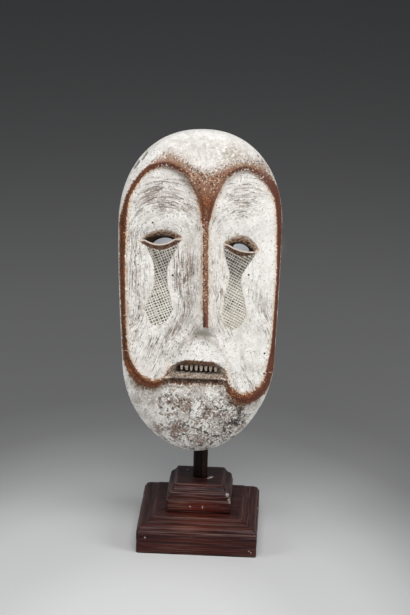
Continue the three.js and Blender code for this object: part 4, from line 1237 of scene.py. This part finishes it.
def worn_clay(net, at):
    """The whole coat of clay. Returns its colour and where it is streaked."""
    tone, streaked = mottled_clay(net, at)
    # Chalk-white clay on clean spots and in the muzzle's arch, and painted light along the rim, where it
    # catches the lamps.
    clean_and_rim_lit = net.most(at.rim_mm.window(8, 2, 0, 0.6), at.clean * 0.55, at.muzzle.window(0.05, 0.4, 0, 0.5))
    # Painted shade in a thin band just outside the muzzle's arch, where its fold lies.
    under_arch = at.muzzle.window(-0.3, -0.05) * at.muzzle.window(0.05, 0.0)
    dusty = at.crown * net.noise(at.plan, 0.13, 4, 0.7).window(0.46, 0.6)
    # Smears of dirt, which beside and under the nose are painted shade.
    smeared_and_shaded = at.smudged * net.noise(at.plan, 0.3, 4, 0.65).window(0.36, 0.6)
    greyed = at.chin * net.noise(at.plan, 0.085, 5, 0.72).window(0.46, 0.54)
    browned = at.chin * (net.noise(at.plan, 0.125, 4, 0.7, 0.5) + at.stained * 0.2).window(0.57, 0.605)
    tone = net.coats(tone, (clean_and_rim_lit, CLAY.chalk), (under_arch * 0.38, CLAY.under_arch),
                     (dusty * 0.3, CLAY.dust), (smeared_and_shaded, CLAY.smear), (greyed * 0.8, CLAY.chin_grey),
                     (browned * 0.85, CLAY.chin_brown))
    grimed = at.crown * at.bare_mm.window(-14, 0, -0.6, 0.35) * at.east.window(-50, -28)
    speckled = at.rubbed * 0.32 + grimed + at.in_lobe.window(9, 1, 0.36, 0.58)
    dark = at.smudged * 0.5 + at.chin * 0.78 - 0.1
    for size, amount, strength, colour in (
            (6.5, dark, at.chin * 0.85, CLAY.chin_mud), (3.4, dark, at.chin * 0.9, CLAY.chin_dark),
            (1.6, dark, at.chin * 0.8, CLAY.chin_dark), (2.0, grimed + 0.55, 0.5, CLAY.grey_streak),
            (1.8, speckled, 0.8, CLAY.speck), (2.1, at.chin * 0.2 + 0.6, 0.7, CLAY.chalk)):
        mask = effect(net, flecks, Place=at.plan, Size=size, Amount=amount)
        tone = net.colour(mask * strength, tone, colour)
    return tone, streaked


print("clay:", len(vars(CLAY)), "tones")

# %% [markdown]
# ### The bare bands
# The bands show wood that was never whitened, darkened by smoke and hands. Clay dust lies thinly beside
# them, so the clay is soiled near a border first, and the band is laid on it through the ragged edge.

# %% The bands and the clay beside them
BAND = palette(dark=(80, 38, 18), mid=(138, 75, 38), light=(192, 134, 88), deep=(64, 38, 27),
               crease=(74, 40, 27), right=(92, 50, 40), pink=(150, 114, 94), ridge=(140, 100, 78),
               spot_dark=(74, 45, 34), spot_light=(216, 184, 156), nose_left=(58, 36, 20),
               nose_right=(112, 60, 50), ochre=(198, 168, 124), ochre_dark=(128, 92, 58),
               soot=(56, 36, 28), haze=(146, 112, 92), sand=(212, 172, 134), mud=(138, 112, 76),
               foot_low=(196, 190, 176), foot_high=(172, 164, 148))
# The nose's foot is a low gable of painted shade under the nose: its middle, the slope of its base, base
# height, roof slope and roof height.
FOOT = {"middle": 0.2, "tilt": 0.13, "base": 127.4, "roof": 0.66, "tall": 8.8}


def soiled_clay(net, at, tone):
    """The clay beside the bands: haze at the crown, a halo, dust inside, mud below, and painted shade at the
    nose's foot.
    """
    haze = at.bare_mm.window(-11, 1) * at.east.window(-48, -28) * at.crown * at.fine.window(0.34, 0.64)
    halo = at.bare_mm.window(-2.6, 0.2) * at.rough.window(0.35, 0.7)
    inner = at.bare_mm.window(-4.2, -0.2) * at.in_lobe.window(-0.6, 0.3) * at.rough.window(0.4, 0.56)
    under_lobes = at.bare_mm.window(-9, 0) * at.chin * at.fine.window(0.38, 0.6)
    off = at.east - FOOT["middle"]
    height = at.up + off * FOOT["tilt"] - FOOT["base"]
    foot = height.window(-0.6, 1.0) * (FOOT["tall"] - abs(off) * FOOT["roof"] - height).window(-1.2, 1.6)
    foot_tone = net.colour(height.window(6, 1), BAND.foot_low, BAND.foot_high)
    return net.coats(tone, (haze * 0.75, BAND.haze), (halo * 0.55, BAND.ochre), (inner * 0.6, BAND.sand),
                     (under_lobes * 0.85, BAND.mud), (foot * 0.8, foot_tone))


def bare_band(net, at, wedge, ridge):
    """Dark figured wood, paler on the brow wedge and along the nose's ridge, with painted shade in the crease
    along the lobes.
    """
    on_top = at.crown * at.in_lobe.window(-3, -6)
    band = net.coats(BAND.dark, (net.noise(at.plan, 0.5, 4, 0.75).window(0.43, 0.57), BAND.mid),
                     (net.noise(at.plan, 0.11, 3, 0.6).window(0.48, 0.6) * 0.55, BAND.deep),
                     (at.fine.window(0.56, 0.62) * 0.7, BAND.light), (on_top * 0.7, BAND.pink),
                     (abs(at.in_lobe + 2.9).window(2.1, 0.6) * 0.72, BAND.crease),
                     (at.east.window(36, 66, 0, 0.72), BAND.right), (wedge * 0.8, BAND.pink),
                     (ridge * abs(at.east).window(2.6, 0.8), BAND.ridge))
    worn = net.most(wedge, ridge)
    for size, more, shade in ((2.7, 0.86, BAND.spot_dark), (2.2, 0.72, BAND.spot_light)):
        mask = effect(net, flecks, Place=at.plan, Size=size, Amount=worn * more + 0.16)
        band = net.colour(mask * 0.85, band, shade)
    # The ridge is painted darker on its left side and lighter on its right, as light falls from the right;
    # the fringe is painted shade on the left of the wedge and ridge, and ochre on the right.
    nose = net.colour(at.east.window(-0.6, 1.4), BAND.nose_left, BAND.nose_right)
    fringe = net.colour(at.east.window(2, -2) * worn, BAND.ochre_dark, BAND.soot)
    return net.coats(band, (ridge * at.up.window(176, 142, 0, 0.95), nose),
                     (at.bare_mm.window(1.7, 0.2) * at.rough.window(0.36, 0.56) * 0.75, fringe))


print("bands:", len(vars(BAND)), "tones")

# %% [markdown]
# ### Patches, lids and mouth
# The sunk patches are dark with old clay caked in their inner corners, and painted darker at their tops as
# shade. The lids run from a pale edge to black at the slit, and the mouth from a brown lip over a dark gap
# to a pale lower lip; the black and the dark gap are painted shade. Each takes its place from distances
# kept at the points, so the colour sits on its carving.

# %% The eyes' patches and lids
PATCH = palette(dark=(42, 38, 34), grey=(84, 78, 70), soot=(24, 21, 19), clay=(192, 183, 166),
                lip=(238, 231, 218))
LID = palette(dark=(20, 13, 10), mid=(76, 50, 38), mid_light=(172, 140, 114), edge=(146, 114, 92),
              edge_light=(224, 203, 182), corner=(94, 58, 34), shadow=(52, 34, 27), brown=(104, 76, 58),
              soot=(44, 27, 24), rim=(214, 199, 186))


def sunk_patches(net, at, tone):
    lip = abs(at.patch_mm + 1.4).window(1.5, 0.4) * at.rough.window(0.6, 0.4, 0.15, 0.5)
    filled = at.up.window(196, 160) * at.east.window(5, 10, 0.35, 1.0)
    filled = filled * net.noise(at.plan, 0.09, 3).window(0.36, 0.56)
    caked = at.east.window(5, 6) * (at.east + at.rough * 6 - 3).window(15.5, 12.5) * at.up.window(212, 176)
    # The bed is painted darker towards the patch's top, as shade under the eye.
    bed = net.coats(PATCH.dark, (at.fine.window(0.4, 0.7), PATCH.grey),
                    (at.up.window(172, 200, 0, 0.6), PATCH.soot),
                    (net.most(filled, caked) * 0.74, PATCH.clay))
    return net.coats(tone, (lip, PATCH.lip), (at.patch_mm.window(0.4, 1.6) * 0.95, bed))


def eyelids(net, at, tone):
    upper, speckled = at.above_slit.window(-0.6, 0.6), at.rough.window(0.45, 0.55)
    # The upper lid faces down: it is painted darker from its edge towards the slit, and black at the slit, as
    # shade.
    over = net.colour(at.lid.window(0.16, 0.5), net.colour(speckled, LID.edge, LID.edge_light),
                      net.colour(speckled, LID.mid, LID.mid_light))
    corner = at.east.window(-44, -52) * at.lid.window(0.2, 0.45)
    over = net.coats(over, (corner * 0.55, LID.corner), (at.lid.window(0.5, 0.8, 0, 0.9), LID.dark))
    # Below the slit a pale rim of clay, which also stands for light on the slit's floor, then painted shade
    # just below it on the lower lid.
    pale_rim = net.most(at.slit.window(-1.7, -1.0), at.above_slit.window(-1.9, -0.9))
    under = net.coats(LID.shadow, (speckled, LID.brown), (at.slit.window(-3.2, -1.6, 0, 0.6), LID.soot),
                      (pale_rim * 0.85, LID.rim))
    edge = at.lid + at.rough * 0.8 - 0.4
    edge = net.blend(upper, edge.window(-0.2, -0.04), edge.window(-0.06, 0.16))
    edge = edge * net.most(at.east.window(-62, -58.5), 1 - upper)
    return net.colour(edge, tone, net.colour(upper, under, over))


print("patches and lids:", len(vars(PATCH)) + len(vars(LID)), "tones")

# %% The mouth, scratches and insect holes
LIP = palette(brown=(118, 76, 48), beige=(176, 163, 148), pale=(228, 212, 194), groove=(72, 43, 28),
              gap=(22, 17, 14), side=(138, 122, 108), dark=(74, 52, 39), light=(204, 190, 172),
              below=(86, 58, 38))
# Down the mouth: brown upper lip, a gap painted near black as the shade deep in the mouth, then the pale
# lower lip and the groove.
LIP_STOPS = [(0, LIP.brown), (0.1, LIP.brown), (0.16, LID.mid), (0.2, LIP.gap), (0.455, LIP.gap),
             (0.48, LIP.beige), (0.53, LIP.beige), (0.545, LIP.brown), (0.57, LIP.beige), (0.62, LIP.pale),
             (0.65, LIP.pale), (0.668, LIP.groove), (0.9, LIP.groove)]
# Scratches: start and way in the mask's plan, half width, colour. The last ones are painted shade in the
# dents along the rim.
PALE_WOOD, GROOVE_SHADE = rgb(214, 190, 160), rgb(84, 73, 66)
SCRATCHES = [((-80, 0, 230.5), (7, 0, -1.2), 0.6, PALE_WOOD), ((-79.5, 0, 147), (7, 0, 1), 0.6, PALE_WOOD),
             ((-78, 0, 111.2), (6.5, 0, 1.2), 0.6, PALE_WOOD),
             ((66, 0, 88.5), (7, 0, -1.8), 0.6, PALE_WOOD), ((-17, 0, 284.6), (9, 0, 3.4), 0.6, PALE_WOOD),
             ((-68.4, 0, 291), (6.0, 0, 8.4), 0.9, GROOVE_SHADE), ((-61.2, 0, 299.6), (6.6, 0, 8.2), 1.0, GROOVE_SHADE),
             ((51.6, 0, 305.4), (2.8, 0, -2.6), 1.1, GROOVE_SHADE), ((55.8, 0, 300.6), (2.6, 0, -3.0), 1.1, GROOVE_SHADE)]


def coloured_mouth(net, at, tone, bare):
    share, inside = at.mouth_share, at.mouth_inside
    corner = share * MOUTH_TALL + inside * 0.8 + at.fine * 5 - 2.5
    in_frame = inside.window(-5, -3.5) * at.in_lobe.window(0.8, -0.4) * corner.window(3, 5)
    in_frame = in_frame * share.window(-0.08, 0.02) * share.window(1.05, 0.93)
    gap = share.window(0.22, 0.27) * share.window(0.55, 0.51) * inside.window(4, 8)
    lip = net.coats(net.ramp((share + at.rough * 0.26 - 0.13) / 1.2, LIP_STOPS),
                    (inside.window(7, 3) * share.window(0.72, 0.6), LIP.side),
                    (at.fine.window(0.49, 0.53) * 0.75, LIP.dark),
                    (at.fine.window(0.46, 0.42) * 0.4, LIP.light), (gap, LIP.gap))
    below = share.window(0.85, 0.95) * inside.window(-6, -2) * bare
    return net.coats(tone, (below * 0.85, LIP.below), (in_frame, lip))


def scratched(net, at, tone):
    for start, way, width, shade in SCRATCHES:
        line = effect(net, scratch, Place=at.plan, Start=start, Way=way, Width=width)
        tone = net.colour(line * 0.8, tone, shade)
    # Insect holes are painted black, as shade inside them.
    for x, z in INSECT_HOLES:
        gap = net.length(at.plan * (1, 0, 1) - (x, 0, z))
        tone = net.colour(gap.window(1.2, 0.7), tone, LID.dark)
    return tone


print("scratches:", len(SCRATCHES), "and", len(INSECT_HOLES), "insect holes")

# %% [markdown]
# ### Front and back put together
# The front is built up in the order of making: clay, soiling, bands, knocks, patches, lids, mouth. The
# back and the rim stay plain aged wood with grain running up the mask, where only some clay spilled over;
# near the slits the wood is painted black, as shade.

# %% The mask's two finishes
BACK = palette(dark=(74, 50, 34), mid=(104, 74, 50), light=(136, 102, 72), pores=(48, 32, 22),
               dust=(150, 134, 114))


def clay_face_material():
    material, net = new_material("whitened_wood_face")
    at = read_marks(net)
    across = abs(at.east)
    wedge = at.up.window(258, 282) * across.window(26, 12)
    ridge = across.window(4, 3) * at.up.window(262, 240)
    bare = effect(net, ragged, Place=at.plan, Distance=at.bare_mm, Fuzz=at.bare_fuzz)
    thinned = at.crown * (1 - wedge) * at.in_lobe.window(-4, -10) * at.fine.window(0.4, 0.6)
    tone, streaked = worn_clay(net, at)
    tone = soiled_clay(net, at, tone)
    tone = net.colour(bare * (1 - thinned * 0.7), tone, bare_band(net, at, wedge, ridge))
    tone = eyelids(net, at, sunk_patches(net, at, scratched(net, at, tone)))
    tone = coloured_mouth(net, at, tone, bare)
    relief = net.noise(at.plan, 1.2, 4, 0.6) * 0.6 - streaked * 0.5 - bare * 0.6
    end_surface(net, tone, net.blend(bare, 0.82, 0.6), 0.3, relief, strength=0.6, deep_mm=0.7)
    return material


def bare_back_material():
    material, net = new_material("bare_wood_back")
    at = read_marks(net)
    made = effect(net, grain, Place=net.join(at.up, at.east, at.depth), Stretch=7)
    dust = net.noise(at.plan, 0.07, 3).window(0.5, 0.75)
    spilled = effect(net, ragged, Place=at.plan, Distance=10 - net.mark("from_front"), Fuzz=3.5)
    tone = net.ramp(made["Figure"], [(0.3, BACK.dark), (0.5, BACK.mid), (0.7, BACK.light)])
    # Near each slit the wood is painted black, as shade inside the slit.
    tone = net.coats(tone, (made["Pores"] * 0.5, BACK.pores), (dust * 0.35, BACK.dust),
                     (spilled, worn_clay(net, at)[0]), (at.slit.window(-4, -1.2, 0, 0.9), LID.dark))
    end_surface(net, tone, 0.78, 0.15, made["Pores"] + made["Sheen"] * 0.6)
    return material


face_finish, back_finish = clay_face_material(), bare_back_material()
print("front and back finishes:", [len(m.node_tree.nodes) for m in (face_finish, back_finish)], "nodes")

# %% [markdown]
# ### Lattice, pegs and stand
# The lattice is whitened too but greyer near the eyes, and the pegs are pale wood that was never painted.
# The stand is polished red-brown hardwood whose grain follows the mouldings, mitred at the corners; its
# post is nearly black. Chips of the plinth show paler wood at their named places. A highlight at the middle
# of each front, sheen in streaks and light along the arrises are painted into the plinth's colour, and the
# upper tier is painted darker, as shade under the mask.

# %% Lattice, peg and stand finishes
STRAND = palette(pale=(238, 234, 224), grey=(196, 189, 177), near_eye=(146, 139, 128))
PEG = palette(pale=(200, 187, 171), brown=(134, 116, 100), dark=(58, 46, 38))
# The glow and the orange are a painted highlight at the front of each tier; the sheen and edge colours are
# painted light, in streaks and along the arrises.
PLINTH = palette(pores=(16, 8, 7), bloom=(100, 73, 69), edge=(140, 114, 106), chip=(186, 174, 168),
                 glow=(94, 28, 15), worn=(138, 84, 56))
POST_WOOD = palette(dark=(4, 2, 2), light=(34, 18, 13), pores=(42, 24, 18))


def lattice_material():
    material, net = new_material("lattice_clay")
    place = net.place_mm()
    near_eye = net.split(place)[2].window(266, 298) * net.noise(place, 0.2, 3).window(0.36, 0.6, 0.5, 1.0)
    tone = net.coats(STRAND.pale, (net.noise(place, 0.8, 3).window(0.35, 0.7), STRAND.grey),
                     (near_eye * 0.8, STRAND.near_eye))
    end_surface(net, tone, 0.85)
    return material


def peg_material():
    material, net = new_material("peg_wood")
    place = net.place_mm()
    tone = net.coats(PEG.pale, (net.noise(place, 0.7, 3).window(0.3, 0.7), PEG.brown),
                     (net.noise(place, 2.2, 2).window(0.5, 0.65) * 0.5, PEG.dark))
    end_surface(net, tone, 0.75)
    return material


def mahogany_material(name, **tones):
    """Polished red-brown wood; on the flat top the grain runs straight, elsewhere along the mouldings."""
    wood = palette(**tones)
    material, net = new_material(name)
    place, ruddy = net.place_mm(), net.mark("ruddy")
    run = net.add("ShaderNodeMix", {0: net.mark("flat_top"), 4: net.mark("run", "Vector"), 5: place},
                  data_type="VECTOR")
    made = effect(net, grain, Place=run * (1, 2.2, 1), Stretch=20)
    figure, sheen, pores = (made[part] for part in ("Figure", "Sheen", "Pores"))
    # A painted highlight at the middle of the front: red on the face, orange in streaks on the moulding.
    glow = net.colour(sheen.window(0.48, 0.6) * ruddy.window(0.7, 0.4), PLINTH.glow, PLINTH.worn)
    chip = 0.0
    for x, y, z, size, _ in CHIPS:
        chip = net.most(chip, 1.0 - net.length(place - (x, y, z)) / (size * 1.7))
    chip = (chip + net.noise(place, 1.1, 3, 0.7) * 2.2 - 1.1).window(0.34, 0.56)
    # Over the grain: the painted highlight, painted sheen in streaks, pores, painted light along the arrises,
    # and pale chips.
    tone = net.coats(net.ramp(figure, [(0.34, wood.dark), (0.5, wood.mid), (0.66, wood.red)]),
                     (ruddy * figure.window(0.4, 0.56, 0.3, 0.95), glow),
                     (sheen.window(0.52, 0.62) * 0.36, PLINTH.bloom), (pores * 0.5, PLINTH.pores),
                     (net.mark("arris") * sheen.window(0.42, 0.56) * 0.3, PLINTH.edge),
                     (chip * 0.75, PLINTH.chip))
    polish = {"Coat Weight": 0.04, "Coat Roughness": 0.3}
    end_surface(net, tone, net.blend(sheen, 0.26, 0.5), 0.16, sheen * 0.8 - pores, **polish)
    return material


def post_material():
    material, net = new_material("dark_post_wood")
    x, y, z = net.split(net.place_mm())
    made = effect(net, grain, Place=net.join(z, x, y) * (1, 3.5, 3.5), Stretch=30)
    tone = net.ramp(made["Figure"], [(0.4, POST_WOOD.dark), (0.6, POST_WOOD.light)])
    tone = net.colour(made["Pores"] * 0.45, tone, POST_WOOD.pores)
    end_surface(net, tone, net.blend(made["Sheen"], 0.45, 0.65), 0.1, made["Pores"], strength=0.2,
                deep_mm=0.3)
    return material


lower_finish = mahogany_material("mahogany_lower_tier", dark=(26, 9, 9), mid=(44, 16, 14), red=(62, 25, 19))
# The upper tier takes darker tones of the same wood: painted shade, as it lies under the mask.
upper_finish = mahogany_material("mahogany_upper_tier", dark=(16, 5, 6), mid=(29, 9, 10), red=(43, 14, 13))
print("materials:", len(bpy.data.materials))

# %% [markdown]
# ## What repeats: the lattice and the pegs
# In each sunk patch two sets of fine ridges cross, and eight pegs stand in the mouth. They could be
# modelled one by one, but a Geometry Nodes tree says once how one is made and then repeats it with small
# random changes. Each tree runs once on an empty object, and its result is kept as a plain mesh.


# %% Geometry Nodes helpers
class Grower(Net):
    """A net for a Geometry Nodes tree, given by its named inputs."""

    def __init__(self, name, inputs):
        super().__init__(bpy.data.node_groups.new(name, "GeometryNodeTree"))
        for label, (kind, default) in inputs.items():
            socket = self.tree.interface.new_socket(label, in_out="INPUT", socket_type="NodeSocket" + kind)
            if default is not None:
                socket.default_value = default
        self.tree.interface.new_socket("Geometry", in_out="OUTPUT", socket_type="NodeSocketGeometry")
        self.put = self.add("NodeGroupInput")

    def position(self):
        return self.add("GeometryNodeInputPosition")

    def random(self, low, high, seed):
        kind = "FLOAT_VECTOR" if isinstance(low, tuple) else "FLOAT"
        return self.add("FunctionNodeRandomValue", {"Min": low, "Max": high, "Seed": seed}, data_type=kind)

    def stored(self, name):
        return self.add("GeometryNodeInputNamedAttribute", {"Name": name}, data_type="FLOAT")

    def store(self, geometry, name, value):
        inputs = {"Geometry": geometry, "Name": name, "Value": value}
        return self.add("GeometryNodeStoreNamedAttribute", inputs, data_type="FLOAT")

    def move(self, geometry, **ways):
        return self.add("GeometryNodeSetPosition", {"Geometry": geometry, **ways})

    def wavered(self, geometry, scale, reach):
        """Moves points about by soft noise."""
        rough = self.add("ShaderNodeTexNoise", {"Vector": self.position(), "Scale": scale, "Detail": 1.0})
        return self.move(geometry, Offset=(rough["Color"] - (0.5, 0.5, 0.5)) * reach)

    def turned(self, geometry, place, turn):
        inputs = {"Geometry": geometry, "Translation": place, "Rotation": turn}
        return self.add("GeometryNodeTransform", inputs)

    def hung(self, geometry):
        """Leans and turns geometry with the mask."""
        return self.turned(geometry, self.put["Mask place"], self.put["Mask turn"])

    def end(self, geometry):
        self.node("NodeGroupOutput", {0: geometry})

    def end_piece(self, geometry):
        """Ends a tree that makes a whole piece."""
        smooth_look = self.add("GeometryNodeSetShadeSmooth", {"Geometry": geometry})
        whole = self.add("GeometryNodeRealizeInstances", {"Geometry": smooth_look})
        self.end(self.add("GeometryNodeSetMaterial", {"Geometry": whole, "Material": self.put["Material"]}))


def grown(name, net, values):
    """Runs a tree once on an empty object and returns the result as a plain mesh piece."""
    holder = show(name + "_source", bpy.data.meshes.new(name + "_source"))
    modifier = holder.modifiers.new("grow", "NODES")
    modifier.node_group = net.tree
    for socket in net.tree.interface.items_tree:
        if socket.in_out == "INPUT":
            modifier[socket.identifier] = values[socket.name]
    holder.update_tag()
    bpy.context.view_layer.update()
    mesh = bpy.data.meshes.new_from_object(holder.evaluated_get(bpy.context.evaluated_depsgraph_get()))
    mesh.name = name
    bpy.data.objects.remove(holder)
    print(name, "has", len(mesh.vertices), "points and", len(mesh.polygons), "faces")
    return show(name, mesh)


HUNG = {"Mask turn": tuple(MASK_PLACE.to_euler("XYZ")), "Mask place": tuple(MASK_PLACE.translation)}
HUNG_INPUTS = {"Mask turn": ("Vector", None), "Mask place": ("Vector", None),
               "Material": ("Material", None)}
print("pieces hang at", [round(v, 4) for v in HUNG["Mask place"]])

# %% [markdown]
# One set of ridges is a row of straight lines at an even pitch. Drawn as curves by hand they would be too
# even; here each line is a copy of one fine line, tilted and shifted a little at random.

# %% One set of parallel lines
LINE_SET = {"Pitch": 0.00265, "Count": 34, "Reach": 0.09, "Step": 0.0008}
LINE_TILT, LINE_SHIFT = 0.02, 0.00035
lines = Grower("parallel_lines", {
    "Middle": ("Vector", None), "Angle": ("Float", 0.0), "Pitch": ("Float", LINE_SET["Pitch"]),
    "Count": ("Int", LINE_SET["Count"]), "Reach": ("Float", LINE_SET["Reach"]),
    "Step": ("Float", LINE_SET["Step"]), "Seed": ("Int", 1)})
put = lines.put
rows = lines.add("GeometryNodeMeshLine", {
    "Count": put["Count"], "Start Location": lines.join(0, 0, (put["Count"] - 1) * -0.5 * put["Pitch"]),
    "Offset": lines.join(0, 0, put["Pitch"])})
one = lines.add("GeometryNodeMeshLine", {
    "Count": put["Reach"] / put["Step"], "Start Location": lines.join(put["Reach"] * -0.5, 0, 0),
    "Offset": lines.join(put["Step"], 0, 0)})
tilt = lines.random(-LINE_TILT, LINE_TILT, put["Seed"])
copies = lines.add("GeometryNodeInstanceOnPoints", {
    "Points": rows, "Instance": one, "Rotation": lines.join(0, tilt, 0)})
shift = lines.random(-LINE_SHIFT, LINE_SHIFT, put["Seed"] + 7)
moved = lines.add("GeometryNodeTranslateInstances", {
    "Instances": copies, "Translation": lines.join(0, 0, shift)})
loose = lines.add("GeometryNodeRealizeInstances", {"Geometry": moved})
lines.end(lines.turned(loose, put["Middle"], lines.join(0, put["Angle"], 0)))
print("one set:", LINE_SET["Count"], "lines,", LINE_SET["Pitch"] / MM, "mm apart")

# %% [markdown]
# Four sets cross in the two patches. They are laid in front of the mask and dropped onto the carved face
# by a ray, which also reads how far inside a patch each point lands. What falls outside is deleted, and
# each line left gets a thin round section. A bump could only fake this; real ridges catch the light.

# %% The lattice over the carved patches
# Sets: x and z of the middle, angle, seed and thickness.
LATTICE_SETS = [(-44, 178, 22, 1, 1.0), (-44, 178, -67, 2, 1.0), (31.5, 172, -30, 3, 1.05),
                (31.5, 172, 62, 4, 0.72)]
LATTICE_START, RAY_LENGTH, KEPT_INSIDE_MM = -0.075, 0.3, 0.55
LINE_RADIUS, LINE_SINK = 0.00066, 0.0002
strands = Grower("patch_lattice", {
    "Carved face": ("Object", None), "Pitch": ("Float", LINE_SET["Pitch"]),
    "Line radius": ("Float", LINE_RADIUS), "Sink": ("Float", LINE_SINK), "Ray": ("Vector", None),
    **HUNG_INPUTS})
put = strands.put
joined = strands.node("GeometryNodeJoinGeometry")
for x, z, angle, seed, thickness in LATTICE_SETS:
    one_set = strands.add("GeometryNodeGroup", {
        **LINE_SET, "Middle": (x * MM, LATTICE_START, z * MM), "Angle": -math.radians(angle),
        "Pitch": put["Pitch"], "Seed": seed}, node_tree=lines.tree)
    strands.feed(joined.inputs[0], strands.store(one_set, "thickness", thickness))
turned = strands.hung(strands.wavered(Wire(strands, joined.outputs[0]), 130.0, (0.0012, 0, 0.0012)))
carved = strands.add("GeometryNodeObjectInfo", {"Object": put["Carved face"]}, transform_space="RELATIVE")
drop = strands.add("GeometryNodeRaycast", {
    "Target Geometry": carved["Geometry"], "Attribute": strands.stored("patch_mm"),
    "Source Position": strands.position(), "Ray Direction": put["Ray"], "Ray Length": RAY_LENGTH},
    data_type="FLOAT")
landed = strands.store(turned, "in_patch", drop["Attribute"])
on_face = strands.move(landed, Position=drop["Hit Position"] + put["Ray"] * put["Sink"])
outside = strands.add("FunctionNodeCompare", {0: strands.stored("in_patch"), 1: KEPT_INSIDE_MM},
                      data_type="FLOAT", operation="LESS_THAN")
cut = strands.add("GeometryNodeDeleteGeometry", {"Geometry": on_face, "Selection": outside})
curves = strands.add("GeometryNodeMeshToCurve", {"Mesh": cut})
uneven = strands.noise(strands.position(), 60.0, 2.0).window(0.25, 0.6, 0.7, 1.05)
worn_size = strands.stored("thickness") * uneven
sized = strands.add("GeometryNodeSetCurveRadius", {"Curve": curves, "Radius": worn_size})
section = strands.add("GeometryNodeCurvePrimitiveCircle", {"Resolution": 6, "Radius": put["Line radius"]})
strands.end_piece(strands.add("GeometryNodeCurveToMesh", {
    "Curve": sized, "Profile Curve": section, "Fill Caps": True, "Scale": worn_size}))

for finish in (face_finish, back_finish):
    mask.data.materials.append(finish)
bpy.context.view_layer.update()
lattice = grown("eye_patch_lattice", strands, {
    **HUNG, "Carved face": mask, "Material": lattice_material(), "Pitch": LINE_SET["Pitch"],
    "Line radius": LINE_RADIUS, "Sink": LINE_SINK, "Ray": tuple(MASK_PLACE.to_3x3() @ Vector((0, 1, 0)))})

# %% [markdown]
# The pegs are small hewn blocks set in a row in the mouth's gap. Each is a copy of one block that is
# rounded and tapered once, then scaled, leaned and roughened at random, so no two are alike.

# %% The pegs in the mouth
TEETH = {"count": 8, "left": -23.4, "right": 15.4, "width": 3.5, "share": 0.335, "tall": 6.2, "back": 34.8,
         "front": 40.4}
peg_row = Grower("mouth_pegs", {
    "Count": ("Int", TEETH["count"]), "First": ("Vector", None), "Last": ("Vector", None),
    "Size": ("Vector", None), "Seed": ("Int", 5), **HUNG_INPUTS})
put = peg_row.put
block = peg_row.add("GeometryNodeMeshCube", {
    "Size": put["Size"], "Vertices X": 5, "Vertices Y": 4, "Vertices Z": 8})
spot = peg_row.position()
off_middle = spot / put["Size"]
rounded = spot * ((1, 1, 1) - off_middle * off_middle * 0.5)
taper = peg_row.join(peg_row.split(off_middle)[2] * 0.55 + 0.85, 1.0, 1.0)
copies = peg_row.add("GeometryNodeInstanceOnPoints", {
    "Points": peg_row.add("GeometryNodeMeshLine", {
        "Count": put["Count"], "Start Location": put["First"], "Offset": put["Last"]}, mode="END_POINTS"),
    "Instance": peg_row.move(block, Position=rounded * taper),
    "Scale": peg_row.random((0.82, 0.95, 0.86), (1.15, 1.02, 1.05), put["Seed"]),
    "Rotation": peg_row.random((-0.02, -0.05, -0.06), (0.02, 0.05, 0.06), put["Seed"] + 3)})
loose = peg_row.add("GeometryNodeRealizeInstances", {"Geometry": copies})
peg_row.end_piece(peg_row.hung(peg_row.wavered(loose, 500.0, 0.0006)))


def row_place(x):
    high, low = mouth_lines(x)
    return x * MM, -(TEETH["front"] + TEETH["back"]) / 2 * MM, mix(high, low, TEETH["share"]) * MM


half_pitch = (TEETH["right"] - TEETH["left"]) / TEETH["count"] / 2
pegs = grown("mouth_pegs", peg_row, {
    **HUNG, "Count": TEETH["count"], "First": row_place(TEETH["left"] + half_pitch),
    "Last": row_place(TEETH["right"] - half_pitch), "Material": peg_material(), "Seed": 5,
    "Size": (TEETH["width"] * MM, (TEETH["front"] - TEETH["back"]) * MM, TEETH["tall"] * MM)})

# %% [markdown]
# ## Which faces are whitened
# The clay covers the front and runs a little way over the edge. Faces could be picked by hand; here each
# point keeps how far down the side it lies, and faces beyond the spill take the bare wood.

# %% Materials of the mask's faces
SPILL_MM, FRONT, BARE = 1.2, -2.0, 30.0
from_front = np.full(len(mask_points), BARE)
from_front[:len(front_plan)] = FRONT
for k, t in enumerate(SIDE_STEPS):
    start = len(front_plan) + k * len(OUTLINE)
    from_front[start:start + len(OUTLINE)] = edge_depth * t
# The upper half of each slit's rim stays bare wood, painted dark as the shade under the lid; the lower half
# keeps the clay, whose pale edge also stands for light on the slit's floor.
for k in range(len(SLITS)):
    start = len(OUTLINE) + k * SLIT_POINTS
    from_front[front_order[start:start + SLIT_POINTS // 2 + 1]] = BARE
keep(mask, "from_front", from_front)
bare_side = np.array([from_front[list(f)].mean() > SPILL_MM for f in shell.faces])
mask.data.polygons.foreach_set("material_index", bare_side.astype(int))
print("bare faces:", int(bare_side.sum()), "of", len(shell.faces))

# %% [markdown]
# ## The stand, and the ties to the frame
# The post and the two tiers now take their finishes. Each piece then rides on the one rigid body of the
# frame, and the four carved or turned pieces replace their plain solids. Lattice
# and pegs replace nothing, for they are detail on the mask.

# %% The stand
POST = {"radius": 7.5, "low": 62.6, "high": 396.8, "chamfer": 1}
post = round_post("dark_post", POST, post_material())
lower = moulded_tier("plinth_lower_tier", LOWER, lower_finish)
upper = moulded_tier("plinth_upper_tier", UPPER, upper_finish)
print("stand:", sum(len(piece.data.polygons) for piece in (post, lower, upper)), "faces")

# %% Tie every piece to the frame
for piece, slot, nodes in (
        (mask, "mask_clay", ["mask"]), (lattice, "mask_clay", []), (pegs, "mask_clay", []),
        (post, "post_wood", ["post"]), (lower, "plinth_wood", ["plinth_lower"]),
        (upper, "plinth_wood", ["plinth_upper"])):
    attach(piece, "root")
    if nodes:
        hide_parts(*nodes)
    piece.data.update()
    print(piece.name, len(piece.data.polygons), "faces")
